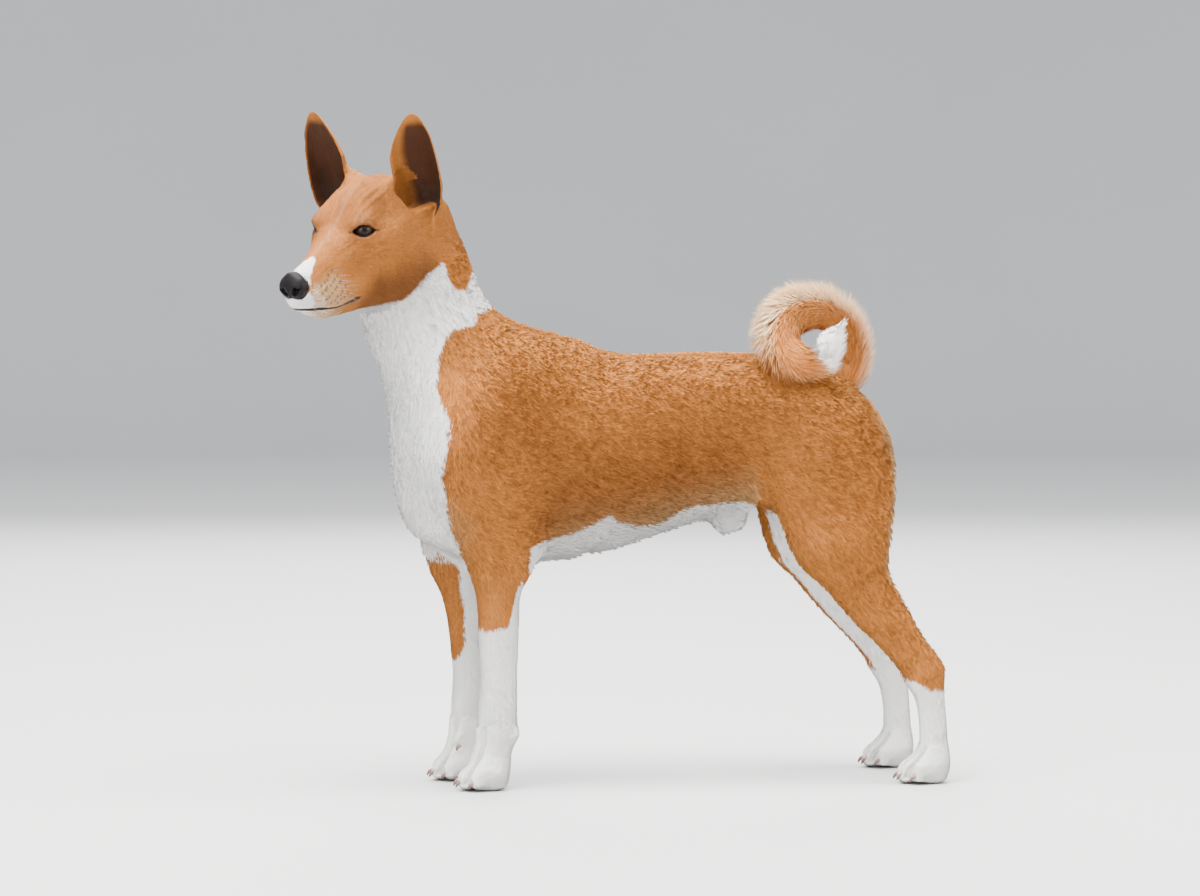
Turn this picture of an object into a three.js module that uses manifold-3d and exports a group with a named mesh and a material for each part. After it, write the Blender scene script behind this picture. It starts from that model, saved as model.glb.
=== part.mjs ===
// A standing Basenji dog, life size, as a still model. Millimetres, +Z up, floor at Z = 0.
// The dog faces -X, its left side is -Y. The flesh is one smooth body of blended forms, drawn
// node by node as a faceted skin and parted with thin cuts; ears, eyes, claws and the locks of
// the tail are shapes of their own.
import * as THREE from "three";
import { mergeVertices } from "three/addons/utils/BufferGeometryUtils.js";
import Module from "manifold-3d";

const wasm = await Module();
wasm.setup();

const GAP = 0.3; // between touching nodes
const FAR = 1e4;
const V = (x, y, z) => new THREE.Vector3(x, y, z);
const rad = THREE.MathUtils.degToRad;
const lerp = THREE.MathUtils.lerp;

// ---------------------------------------------------------------- driving dimensions

const LEG_FORE_Y = 42; // foreleg from the midline
const LEG_HIND_Y = 66; // hind leg from the midline
const FAR_FORE_LEAD = 12; // the right forepaw stands this much further forward
const FAR_ELBOW_LEAD = 15; // and its elbow leads by this much more

// Trunk: [x, top, bottom, half width, height of the widest level]
const TRUNK = [
  [-150, 392, 226, 50, 314],
  [-118, 410, 214, 60, 308],
  [-80, 417, 209, 66, 305],
  [-40, 414, 209, 68, 308],
  [0, 405, 219, 67, 315],
  [48, 404, 234, 62, 324],
  [96, 405, 249, 56, 334],
  [145, 404, 258, 52, 338],
  [190, 397, 266, 49, 338],
  [224, 374, 272, 43, 328],
  [244, 347, 276, 35, 308],
];
const CHEST_CAP = 42; // the breast bulges this far ahead of the first station
const RUMP_CAP = 31;

// Neck, from the head down: [x, y, z, half width, nape, throat]
const NECK = [
  [-186, -2, 522, 36, 47, 42],
  [-180, -4, 488, 37, 54, 55],
  [-168, -1, 447, 41, 56, 60],
  [-153, 0, 405, 46, 56, 58],
  [-134, 0, 365, 50, 60, 60],
  [-112, 0, 325, 50, 60, 60],
];

// Head: where the midpoint between the eyes is, and how the head is turned
const HEAD_AT = V(-253.6, -60, 516.7);
const HEAD_YAW = 49;
const HEAD_PITCH = 29.7;
const HEAD_ROLL = -2;

const EYE_RADIUS = 11.5;
const EYE_AT = V(-8.5, 19.2, -1.2);
const EYE_LOOK = V(0.74, 0.64, 0.24).normalize();
const EYE_SLIT = 20; // length of the opening between the lids
const EYE_OPEN = 11; // its height

// ---------------------------------------------------------------- blended forms

// Distance to an ellipsoid-like section, near enough for drawing a skin.
function sectionDistance(a, b, c, ra, rb, rc) {
  const k0 = Math.hypot(a / ra, b / rb, c / rc);
  const k1 = Math.hypot(a / (ra * ra), b / (rb * rb), c / (rc * rc));
  return k1 < 1e-12 ? -Math.min(ra, rb, rc) : (k0 * (k0 - 1)) / k1;
}

function smoothMin(a, b, k) {
  const h = Math.max(k - Math.abs(a - b), 0) / k;
  return Math.min(a, b) - (h * h * k) / 4;
}

// A tube of changing oval section. Each station is [x, y, z, side, up, down]: the section's
// half width to both sides, and its reach up and down across the way the tube runs.
function tube(stations, { blend = 20, side = V(0, 1, 0), caps = [null, null], steps = 4 } = {}) {
  const at = (i) => stations[Math.min(Math.max(i, 0), stations.length - 1)];
  const line = new THREE.CatmullRomCurve3(stations.map((s) => V(s[0], s[1], s[2])));
  const samples = [];
  const count = (stations.length - 1) * steps;
  const hermite = (p0, p1, p2, p3, t) =>
    0.5 * (2 * p1 + (p2 - p0) * t + (2 * p0 - 5 * p1 + 4 * p2 - p3) * t * t + (3 * p1 - p0 - 3 * p2 + p3) * t ** 3);
  for (let i = 0; i <= count; i++) {
    const k = Math.min(Math.floor(i / steps), stations.length - 2);
    const t = i / steps - k;
    const size = [3, 4, 5].map((c) => hermite(at(k - 1)[c], at(k)[c], at(k + 1)[c], at(k + 2)[c], t));
    samples.push({ p: line.getPoint(i / count), size });
  }
  const parts = [];
  for (let i = 0; i < count; i++) {
    const [a, b] = [samples[i], samples[i + 1]];
    const along = b.p.clone().sub(a.p);
    const length = along.length();
    along.divideScalar(length);
    const across = side.clone().addScaledVector(along, -side.dot(along)).normalize();
    const up = along.clone().cross(across);
    parts.push({ a, b, along, length, across, up, first: i === 0, last: i === count - 1 });
  }
  const reach = Math.max(...stations.flatMap((s) => s.slice(3)), ...caps.map((c) => c ?? 0));
  const centre = samples.reduce((sum, s) => sum.add(s.p), V(0, 0, 0)).divideScalar(samples.length);
  const radius = Math.max(...samples.map((s) => s.p.distanceTo(centre))) + reach;
  const q = V(0, 0, 0);
  const distance = (p) => {
    let best = FAR;
    for (const s of parts) {
      q.copy(p).sub(s.a.p);
      const raw = q.dot(s.along) / s.length;
      const t = Math.min(Math.max(raw, 0), 1);
      q.addScaledVector(s.along, -t * s.length);
      const a = q.dot(s.across);
      const b = q.dot(s.up);
      const c = q.dot(s.along);
      const ra = lerp(s.a.size[0], s.b.size[0], t);
      const rb = b > 0 ? lerp(s.a.size[1], s.b.size[1], t) : lerp(s.a.size[2], s.b.size[2], t);
      const end = raw < 0 && s.first ? caps[0] : raw > 1 && s.last ? caps[1] : null;
      const rc = end ?? Math.min(ra, rb);
      best = Math.min(best, sectionDistance(a, b, c, ra, rb, rc));
    }
    return best;
  };
  return { distance, blend, centre, radius };
}

// An ellipsoid with its own turn (degrees about X, Y and Z).
function ball(at, radii, { blend = 15, turn = [0, 0, 0] } = {}) {
  const back = new THREE.Quaternion().setFromEuler(new THREE.Euler(...turn.map(rad))).invert();
  const q = V(0, 0, 0);
  const distance = (p) => {
    q.copy(p).sub(at).applyQuaternion(back);
    return sectionDistance(q.x, q.y, q.z, ...radii);
  };
  return { distance, blend, centre: at.clone(), radius: Math.max(...radii) };
}

// The same form seen in a frame that is placed in the world by a matrix.
function placed(form, matrix) {
  const inverse = matrix.clone().invert();
  const q = V(0, 0, 0);
  return {
    distance: (p) => form.distance(q.copy(p).applyMatrix4(inverse)),
    blend: form.blend,
    centre: form.centre.clone().applyMatrix4(matrix),
    radius: form.radius,
  };
}

// All forms run together, each into those before it by its own softness.
function blendOf(forms) {
  return (p) => {
    let d = FAR;
    for (const f of forms) {
      if (p.distanceTo(f.centre) - f.radius > d + f.blend) continue;
      d = d === FAR ? f.distance(p) : smoothMin(d, f.distance(p), f.blend);
    }
    return d;
  };
}

// ---------------------------------------------------------------- the dog's forms

function trunkForms() {
  const stations = TRUNK.map(([x, top, bottom, half, level]) => [x, 0, level, half, top - level, level - bottom]);
  const withers = tube(
    [
      [-96, 0, 404, 14, 22, 20],
      [-62, 0, 402, 16, 21, 20],
      [-24, 0, 392, 18, 20, 20],
    ],
    { blend: 30 },
  );
  return [tube(stations, { blend: 30, caps: [CHEST_CAP, RUMP_CAP] }), withers];
}

function neckForms() {
  return [tube(NECK, { blend: 46, steps: 4 })];
}

// How far forward a foreleg is at a height: the far one slants forward from wrist to elbow.
const leadAt = (lead, z) => lead + (lead && FAR_ELBOW_LEAD) * Math.max(0, (z - 100) / 120) ** 1.6;

// Shoulder blade and upper arm, one side.
function shoulderForms(sign, lead) {
  const x = -leadAt(lead, 220) * 0.6;
  const blade = [
    [-72 + x * 0.3, 34 * sign, 392, 14, 22, 22],
    [-96 + x * 0.6, 46 * sign, 362, 20, 32, 30],
    [-124 + x * 0.8, 53 * sign, 326, 22, 36, 32],
    [-136 + x * 0.8, 53 * sign, 302, 20, 28, 28],
  ];
  const upperArm = [
    [-138 + x * 0.8, 52 * sign, 306, 20, 30, 26],
    [-120 + x, 53 * sign, 272, 22, 36, 32],
    [-104 - leadAt(lead, 236), 50 * sign, 236, 20, 32, 30],
    [-103 - leadAt(lead, 214), 46 * sign, 214, 18, 26, 28],
  ];
  return [tube(blade, { blend: 34 }), tube(upperArm, { blend: 30 })];
}

// Foreleg from the elbow to the pastern: [x, y, z, half width, rear, front]
function forelegForms(sign, lead) {
  const y = LEG_FORE_Y * sign;
  const stations = [
    [-103, y + 4 * sign, 222, 18, 25, 27],
    [-104, y + 2 * sign, 192, 17, 22, 23],
    [-104, y, 160, 16, 20, 20],
    [-104, y, 120, 14.5, 19, 19],
    [-104, y, 84, 14.5, 18.5, 19],
    [-105, y, 62, 15.5, 19.5, 20],
    [-107, y, 44, 14, 18, 19],
    [-111, y, 28, 14.5, 16, 18],
    [-116, y, 17, 17, 16, 16],
  ].map(([x, y, z, ...rest]) => [x - leadAt(lead, z), y, z, ...rest]);
  const elbow = ball(V(-84 - leadAt(lead, 216), y + 4 * sign, 216), [12, 13, 18], { blend: 16 });
  return [tube(stations, { blend: 22 }), elbow];
}

// Thigh, stifle, gaskin, hock and rear pastern, one side.
function hindlegForms(sign) {
  const thigh = [
    [190, 30 * sign, 340, 22, 34, 42],
    [202, 37 * sign, 314, 29, 58, 46],
    [208, 43 * sign, 284, 30, 66, 52],
    [208, 49 * sign, 252, 27, 65, 46],
    [213, 55 * sign, 226, 23, 52, 40],
  ];
  const gaskin = [
    [214, 56 * sign, 228, 22, 48, 36],
    [226, 60 * sign, 200, 20, 38, 29],
    [242, 62 * sign, 172, 17, 31, 23],
    [261, 64 * sign, 146, 14.5, 25, 18],
    [280, 65 * sign, 122, 12.5, 20, 15],
    [296, 66 * sign, 103, 12.5, 18, 16],
  ];
  const pastern = [
    [298, 66 * sign, 108, 12, 16, 18],
    [302, 66 * sign, 90, 12, 15.5, 16],
    [305, 66 * sign, 66, 11, 14.5, 14],
    [307, 66 * sign, 42, 12, 14.5, 14],
    [306, 66 * sign, 26, 14, 15, 15],
    [301, 66 * sign, 16, 16, 16, 16],
  ];
  const tendon = [
    [268, 63 * sign, 176, 7, 7, 7],
    [290, 65 * sign, 142, 6, 6.5, 6],
    [308, 66 * sign, 116, 7, 8, 8],
    [312, 66 * sign, 104, 8, 8, 9],
  ];
  return [
    tube(thigh, { blend: 34 }),
    tube(gaskin, { blend: 22 }),
    tube(pastern, { blend: 14 }),
    tube(tendon, { blend: 9 }),
  ];
}

// Sheath of the male, under the belly.
function sheathForms() {
  const line = [
    [114, 0, 238, 9, 10, 12],
    [128, 0, 243, 10.5, 12, 13],
    [146, 0, 251, 10, 12, 12],
    [166, 0, 260, 9, 10, 10],
  ];
  return [tube(line, { blend: 12 }), ball(V(186, 0, 262), [14, 14, 13], { blend: 8 })];
}

// A paw in its own frame: +X to the toes, sole on Z = 0, its leg above the origin.
// Each toe is an arched tube; the pads reach a little under the floor and are cut flat there.
const TOES = [
  { y: -14.5, reach: 11, size: 7, spread: -0.2 },
  { y: -5.2, reach: 20, size: 7.8, spread: -0.05 },
  { y: 5.2, reach: 20, size: 7.8, spread: 0.05 },
  { y: 14.5, reach: 11, size: 7, spread: 0.2 },
];
const PAD_SINK = 1.2;
const toeSide = (toe, x) => toe.y + toe.spread * (x + 4);

function toeForm(toe) {
  const { reach, size } = toe;
  const line = [
    [-8, toeSide(toe, -8) * 0.9, 15, size, size + 1, size],
    [reach * 0.3, toeSide(toe, reach * 0.3), 15.5, size, size + 1.5, size],
    [reach * 0.75, toeSide(toe, reach * 0.75), 12.5, size, size + 1, size],
    [reach, toeSide(toe, reach), size - PAD_SINK, size * 0.94, size * 0.8, size],
  ];
  return tube(line, { blend: 3, steps: 2 });
}

// `medial` is the side of the dewclaw, 0 where there is none.
function pawForms(medial) {
  const heel = ball(V(-6, 0, 16), [17, 18, 15], { blend: 12 });
  const pad = ball(V(-6, 0, 6), [15, 14, 7.3], { blend: 6 });
  const forms = [heel, pad, ...TOES.map(toeForm)];
  if (medial) forms.push(ball(V(1, 13 * medial, 37), [6, 5, 9], { blend: 5 }));
  if (medial) forms.push(ball(V(-27, -5 * medial, 52), [6, 6, 7], { blend: 5 }));
  return forms;
}

const pawFrame = (x, y) => new THREE.Matrix4().makeRotationZ(Math.PI).setPosition(x, y, 0);
const PAWS = {
  forepaw_left: { frame: pawFrame(-117, -LEG_FORE_Y), medial: -1 },
  forepaw_right: { frame: pawFrame(-117 - FAR_FORE_LEAD, LEG_FORE_Y), medial: 1 },
  hindpaw_left: { frame: pawFrame(298, -LEG_HIND_Y), medial: 0 },
  hindpaw_right: { frame: pawFrame(298, LEG_HIND_Y), medial: 0 },
};

// The head in its own frame: +X to the nose along the bridge, +Y to its left, +Z up.
const headFrame = new THREE.Matrix4()
  .makeRotationZ(rad(HEAD_YAW))
  .multiply(new THREE.Matrix4().makeScale(-1, -1, 1))
  .multiply(new THREE.Matrix4().makeRotationY(rad(HEAD_PITCH)))
  .multiply(new THREE.Matrix4().makeRotationX(rad(HEAD_ROLL)));
headFrame.setPosition(HEAD_AT);

// The flesh that runs up behind the inner edge of an ear.
const earRoot = (s) => [
  [-70, 23 * s, -14, 17, 17, 17],
  [-75, 28 * s, 2, 13, 14, 13],
  [-77, 30 * s, 18, 8.5, 11, 9.5],
];

function skullForms() {
  const forehead = [
    [-80, 0, -4, 22, 18, 20],
    [-54, 0, 0, 28, 22, 24],
    [-30, 0, 0, 27, 19, 24],
    [-12, 0, -5, 24, 17, 24],
    [2, 0, -10, 21, 16, 22],
    [16, 0, -15, 18, 18, 22],
  ];
  const sides = (s) => [
    ball(V(-28, 13 * s, 7), [24, 12, 16], { blend: 8 }), // frontal lobes, a furrow between
    ball(V(-38, 31 * s, -46), [34, 19, 36], { blend: 22 }), // cheek
    ball(V(-14, 30 * s, -21), [25, 10, 12], { blend: 14, turn: [0, 0, -20 * s] }), // cheekbone
    ball(V(-10, 20 * s, 8.5), [14, 11, 5.5], { blend: 9 }), // brow
    ball(V(-80, 41 * s, -24), [18, 19, 25], { blend: 18 }), // root of the ear
    tube(earRoot(s), { blend: 14 }), // and its inner edge, up the back of the ear
    ball(V(EYE_AT.x, EYE_AT.y * s, EYE_AT.z), Array(3).fill(EYE_RADIUS + 1.2), { blend: 6 }),
  ];
  return [
    ball(V(-50, 0, -17), [46, 41, 38], { blend: 10 }),
    tube(forehead, { blend: 12 }),
    ...sides(1),
    ...sides(-1),
  ];
}

// Upper muzzle with the cushions of its lips.
function muzzleForms() {
  const bridge = [
    [0, 0, -23, 29, 28, 30],
    [20, 0, -21, 24, 25.5, 29],
    [40, 0, -20, 20.5, 23.5, 28],
    [60, 0, -19, 18.5, 22, 25],
    [76, 0, -16, 16.5, 19.5, 19],
    [86, 0, -11, 13, 14, 15],
  ];
  const lip = (s) => [
    [14, 17 * s, -42, 12, 14, 14],
    [34, 15 * s, -40, 11.5, 14, 13],
    [52, 12.5 * s, -35, 10.5, 13, 12],
    [68, 10.5 * s, -30, 9.5, 12, 10.5],
    [80, 7 * s, -24, 8, 10, 7.5],
  ];
  return [
    tube(bridge, { blend: 16, caps: [null, 6] }),
    tube(lip(1), { blend: 8, steps: 2 }),
    tube(lip(-1), { blend: 8, steps: 2 }),
  ];
}

// Lower jaw from the throat to the chin.
function jawForms() {
  const jaw = [
    [-62, 0, -64, 34, 16, 20],
    [-38, 0, -64, 32, 18, 23],
    [-12, 0, -62, 26, 18, 20],
    [12, 0, -58, 20, 18, 17],
    [28, 0, -54, 16.5, 15, 15],
    [44, 0, -50, 14.5, 13, 13],
    [60, 0, -44, 12.5, 12, 11.5],
    [71, 0, -37, 10.5, 10, 8.5],
  ];
  return [tube(jaw, { blend: 12, caps: [null, 8] })];
}

const headForms = [...skullForms(), ...muzzleForms(), ...jawForms()];
const inWorld = (forms, matrix) => forms.map((f) => placed(f, matrix));

const bodyForms = [
  ...trunkForms(),
  ...shoulderForms(-1, 0),
  ...shoulderForms(1, FAR_FORE_LEAD),
  ...hindlegForms(-1),
  ...hindlegForms(1),
  ...forelegForms(-1, 0),
  ...forelegForms(1, FAR_FORE_LEAD),
  ...sheathForms(),
  ...Object.values(PAWS).flatMap(({ frame, medial }) => inWorld(pawForms(medial), frame)),
  ...neckForms(),
];
const headInWorld = inWorld(headForms, headFrame).map((f) => ({ ...f, blend: Math.max(f.blend, 10) }));
const body = blendOf([...bodyForms, ...headInWorld]);

// ---------------------------------------------------------------- drawing the skin

// Evenly spaced lines from a to b, about `step` apart.
function lines(a, b, step) {
  const n = Math.max(1, Math.round((b - a) / step));
  return Array.from({ length: n + 1 }, (_, i) => lerp(a, b, i / n));
}

const CUBE_CORNERS = [0, 1, 2, 3, 4, 5, 6, 7].map((c) => [c & 1, (c >> 1) & 1, (c >> 2) & 1]);
const CUBE_EDGES = [];
for (let i = 0; i < 8; i++)
  for (const bit of [1, 2, 4]) if (!(i & bit)) CUBE_EDGES.push([i, i | bit]);

// Whether the corners of a cube in `mask` hang together along its edges.
function joined(mask) {
  let reached = mask & -mask;
  for (let round = 0; round < 8; round++)
    for (const [a, b] of CUBE_EDGES) {
      if (mask & (1 << a) && mask & (1 << b) && reached & ((1 << a) | (1 << b))) reached |= (1 << a) | (1 << b);
    }
  return reached === mask;
}
const PINCHED = Array.from({ length: 256 }, (_, mask) => !joined(mask) || !joined(255 - mask));

// Fills in the grid where two sheets of the surface would share a vertex or an edge.
function unpinch(value, index, [nx, ny, nz]) {
  for (let changed = true; changed; ) {
    changed = false;
    for (let i = 1; i < nx - 2; i++)
      for (let j = 1; j < ny - 2; j++)
        for (let k = 1; k < nz - 2; k++) {
          const at = CUBE_CORNERS.map(([a, b, c]) => index(i + a, j + b, k + c));
          const mask = at.reduce((sum, cell, c) => sum | (value[cell] < 0 ? 1 << c : 0), 0);
          if (!PINCHED[mask]) continue;
          const nearest = at.filter((cell) => value[cell] >= 0).sort((a, b) => value[a] - value[b])[0];
          value[nearest] = -1e-3;
          changed = true;
        }
  }
}

// Draws the zero surface of a field over a box of grid lines, in the given frame: one vertex
// in each crossed cell, moved onto the surface (or onto the level `lift` above it), and one
// quad for each crossed grid edge. The surface is closed at the box.
function contour(field, [xs, ys, zs], { frame = new THREE.Matrix4(), lift = 0 } = {}) {
  const [nx, ny, nz] = [xs.length, ys.length, zs.length];
  const world = V(0, 0, 0);
  const sample = (x, y, z) => field(world.set(x, y, z).applyMatrix4(frame));
  const index = (i, j, k) => (i * ny + j) * nz + k;
  const value = new Float64Array(nx * ny * nz);
  for (let i = 0; i < nx; i++)
    for (let j = 0; j < ny; j++)
      for (let k = 0; k < nz; k++) {
        const rim = i === 0 || j === 0 || k === 0 || i === nx - 1 || j === ny - 1 || k === nz - 1;
        const d = sample(xs[i], ys[j], zs[k]);
        value[index(i, j, k)] = rim ? Math.max(Math.abs(d), 0.1) : d;
      }
  unpinch(value, index, [nx, ny, nz]);
  const corner = CUBE_CORNERS;
  const edges = CUBE_EDGES;
  const vertexOf = new Map();
  const positions = [];
  for (let i = 0; i < nx - 1; i++)
    for (let j = 0; j < ny - 1; j++)
      for (let k = 0; k < nz - 1; k++) {
        const v = corner.map(([a, b, c]) => value[index(i + a, j + b, k + c)]);
        if (v.every((d) => d < 0) || v.every((d) => d >= 0)) continue;
        const p = V(0, 0, 0);
        let crossed = 0;
        for (const [a, b] of edges) {
          if (v[a] < 0 === v[b] < 0) continue;
          const t = v[a] / (v[a] - v[b]);
          p.x += lerp(xs[i + corner[a][0]], xs[i + corner[b][0]], t);
          p.y += lerp(ys[j + corner[a][1]], ys[j + corner[b][1]], t);
          p.z += lerp(zs[k + corner[a][2]], zs[k + corner[b][2]], t);
          crossed++;
        }
        p.divideScalar(crossed);
        const inner = i > 0 && j > 0 && k > 0 && i < nx - 2 && j < ny - 2 && k < nz - 2;
        if (inner) settle(p, sample, lift, [xs[i], ys[j], zs[k]], [xs[i + 1], ys[j + 1], zs[k + 1]]);
        vertexOf.set(index(i, j, k), positions.length / 3);
        positions.push(p.x, p.y, p.z);
      }
  const faces = [];
  const quad = (a, b, c, d, flip) => {
    const [p, q, r, s] = [a, b, c, d].map((cell) => vertexOf.get(index(...cell)));
    faces.push(...(flip ? [p, r, q, p, s, r] : [p, q, r, p, r, s]));
  };
  for (let i = 1; i < nx - 1; i++)
    for (let j = 1; j < ny - 1; j++)
      for (let k = 1; k < nz - 1; k++) {
        const here = value[index(i, j, k)] < 0;
        if (here !== value[index(i + 1, j, k)] < 0)
          quad([i, j - 1, k - 1], [i, j, k - 1], [i, j, k], [i, j - 1, k], !here);
        if (here !== value[index(i, j + 1, k)] < 0)
          quad([i - 1, j, k - 1], [i - 1, j, k], [i, j, k], [i, j, k - 1], !here);
        if (here !== value[index(i, j, k + 1)] < 0)
          quad([i - 1, j - 1, k], [i, j - 1, k], [i, j, k], [i - 1, j, k], !here);
      }
  const rimFaces = rimQuads(value, index, nx, ny, nz, vertexOf);
  const geometry = new THREE.BufferGeometry();
  geometry.setAttribute("position", new THREE.Float32BufferAttribute(positions, 3));
  geometry.setIndex([...faces, ...rimFaces]);
  return geometry;
}

// Grid edges that leave the rim of the box inwards are crossed too: they close the surface.
function rimQuads(value, index, nx, ny, nz, vertexOf) {
  const faces = [];
  const quad = (cells, flip) => {
    const [p, q, r, s] = cells.map((cell) => vertexOf.get(index(...cell)));
    faces.push(...(flip ? [p, r, q, p, s, r] : [p, q, r, p, r, s]));
  };
  for (let j = 1; j < ny - 1; j++)
    for (let k = 1; k < nz - 1; k++)
      if (value[index(1, j, k)] < 0) quad([[0, j - 1, k - 1], [0, j, k - 1], [0, j, k], [0, j - 1, k]], true);
  for (let i = 1; i < nx - 1; i++)
    for (let k = 1; k < nz - 1; k++)
      if (value[index(i, 1, k)] < 0) quad([[i - 1, 0, k - 1], [i - 1, 0, k], [i, 0, k], [i, 0, k - 1]], true);
  for (let i = 1; i < nx - 1; i++)
    for (let j = 1; j < ny - 1; j++)
      if (value[index(i, j, 1)] < 0) quad([[i - 1, j - 1, 0], [i, j - 1, 0], [i, j, 0], [i - 1, j, 0]], true);
  return faces;
}

// Moves a point along the field's slope onto its surface, but not out of its own cell.
function settle(p, sample, lift, low, high) {
  const h = 0.2;
  for (let round = 0; round < 4; round++) {
    const d = sample(p.x, p.y, p.z) - lift;
    const gx = (sample(p.x + h, p.y, p.z) - sample(p.x - h, p.y, p.z)) / (2 * h);
    const gy = (sample(p.x, p.y + h, p.z) - sample(p.x, p.y - h, p.z)) / (2 * h);
    const gz = (sample(p.x, p.y, p.z + h) - sample(p.x, p.y, p.z - h)) / (2 * h);
    const slope = Math.max(gx * gx + gy * gy + gz * gz, 0.05);
    p.x -= (d * gx) / slope;
    p.y -= (d * gy) / slope;
    p.z -= (d * gz) / slope;
    p.x = Math.min(Math.max(p.x, low[0] - lift), high[0] + lift);
    p.y = Math.min(Math.max(p.y, low[1] - lift), high[1] + lift);
    p.z = Math.min(Math.max(p.z, low[2] - lift), high[2] + lift);
  }
}

// ---------------------------------------------------------------- solids and cuts

function solidOf(geometry) {
  const bare = geometry.clone();
  for (const name of Object.keys(bare.attributes)) if (name !== "position") bare.deleteAttribute(name);
  const merged = mergeVertices(bare, 1e-4);
  return new wasm.Manifold(
    new wasm.Mesh({
      numProp: 3,
      vertProperties: merged.attributes.position.array,
      triVerts: new Uint32Array(merged.index.array),
    }),
  );
}

const largest = (solid) => solid.decompose().sort((a, b) => b.volume() - a.volume())[0];

// The same surface with the shortest edges closed up, as far as it stays one closed body.
function tidied(geometry) {
  for (const reach of [0.04, 0.015, 0.005, 0.001]) {
    const merged = mergeVertices(geometry, reach);
    const index = merged.index.array;
    const kept = [];
    for (let i = 0; i < index.length; i += 3) {
      const [a, b, c] = index.slice(i, i + 3);
      if (a !== b && b !== c && c !== a) kept.push(a, b, c);
    }
    merged.setIndex(kept);
    if (isClosed(kept)) return merged;
  }
  return geometry;
}

// Whether every edge is used once each way.
function isClosed(index) {
  const used = new Set();
  for (let i = 0; i < index.length; i++) {
    const next = i % 3 === 2 ? i - 2 : i + 1;
    const key = index[i] * 1e6 + index[next];
    if (used.has(key)) return false;
    used.add(key);
  }
  return [...used].every((key) => used.has((key % 1e6) * 1e6 + Math.floor(key / 1e6)));
}

function geometryOf(solid) {
  const { numProp, vertProperties, triVerts, numVert } = largest(solid).getMesh();
  const positions = new Float32Array(numVert * 3);
  for (let i = 0; i < numVert; i++) positions.set(vertProperties.subarray(i * numProp, i * numProp + 3), i * 3);
  const geometry = new THREE.BufferGeometry();
  geometry.setAttribute("position", new THREE.BufferAttribute(positions, 3));
  geometry.setIndex(new THREE.BufferAttribute(new Uint32Array(triVerts), 1));
  return tidied(geometry);
}

// A cut is a plane; `keep` takes the side its normal points to, `drop` the other one.
const cut = (at, normal) => ({ at, normal: normal.clone().normalize() });
function keep(solid, { at, normal }) {
  return solid.trimByPlane(normal.toArray(), normal.dot(at) + GAP / 2);
}
function drop(solid, { at, normal }) {
  return solid.trimByPlane(normal.clone().negate().toArray(), -normal.dot(at) + GAP / 2);
}

const CUTS = {
  throat: cut(V(-196, -14, 468), V(-0.62, -0.32, 0.72)),
  neckRoot: cut(V(-150, 0, 392), V(-0.5, 0, 0.87)),
  ribs: cut(V(-8, 0, 300), V(1, 0, -0.12)),
  flank: cut(V(136, 0, 320), V(1, 0, 0.1)),
  thigh: cut(V(212, 0, 274), V(-0.33, 0, -0.94)),
  stifle: cut(V(222, 0, 214), V(0.36, 0, -0.93)),
  hock: cut(V(299, 0, 104), V(0.3, 0, -0.95)),
  hindPastern: cut(V(306, 0, 36), V(0, 0, -1)),
  elbow: cut(V(0, 0, 204), V(0, 0, -1)),
  wrist: cut(V(0, 0, 60), V(0, 0, -1)),
  floor: cut(V(0, 0, -GAP / 2), V(0, 0, 1)),
  left: cut(V(0, 0, 0), V(0, -1, 0)),
  right: cut(V(0, 0, 0), V(0, 1, 0)),
};

// ---------------------------------------------------------------- materials

const finish = (color, roughness) => new THREE.MeshStandardMaterial({ color, roughness, metalness: 0 });
const RED_COAT = finish(0xa9663a, 0.85);
const WHITE_COAT = finish(0xece6de, 0.85);
const CREAM_COAT = finish(0xd9a878, 0.85);
const NOSE = finish(0x26211f, 0.45);
const EYE = finish(0x2a160d, 0.08);
const CLAW = finish(0xd8c6b4, 0.4);

const dog = new THREE.Group();
const headGroup = new THREE.Group();
headGroup.applyMatrix4(headFrame);
dog.add(headGroup);

function addNode(parent, name, solid, material) {
  const mesh = new THREE.Mesh(geometryOf(solid), material);
  mesh.name = name;
  parent.add(mesh);
  return mesh;
}

// ---------------------------------------------------------------- trunk and neck

function grid(low, high, step) {
  return [0, 1, 2].map((i) => lines(low[i], high[i], step[i]));
}

// Grid lines that are close together over the stretches named in `fine`: [from, to, step].
function variedLines(low, high, coarse, fine) {
  const out = [low];
  while (out.at(-1) < high - 1e-6) {
    const v = out.at(-1);
    const stretch = fine.find(([a, b]) => v >= a - 1e-6 && v < b - 1e-6);
    const ahead = fine.map(([a]) => a).filter((a) => a > v + 1e-6);
    const wall = stretch ? stretch[1] : Math.min(high, ...ahead);
    const step = stretch ? stretch[2] : coarse;
    out.push(v + (wall - v) / Math.max(1, Math.round((wall - v) / step)));
  }
  return out;
}

const CROUP_GRID = grid([105, -105, 212], [310, 105, 440], [19, 16.2, 17]);

function buildTrunk() {
  const chest = solidOf(contour(body, grid([-225, -105, 180], [20, 105, 480], [23, 20, 20])));
  const sheath = solidOf(contour(body, grid([94, -22, 212], [172, 22, 266], [8, 7.4, 7.4])));
  const loin = solidOf(contour(body, grid([-45, -105, 190], [170, 105, 440], [26, 19, 19]))).add(sheath);
  const croup = solidOf(contour(body, CROUP_GRID));
  const { elbow, neckRoot, ribs, flank, thigh } = CUTS;
  addNode(dog, "chest", drop(drop(drop(chest, ribs), neckRoot), elbow), RED_COAT);
  addNode(dog, "loin", drop(keep(loin, ribs), flank), RED_COAT);
  addNode(dog, "croup", drop(keep(croup, flank), thigh), RED_COAT);
}

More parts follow.
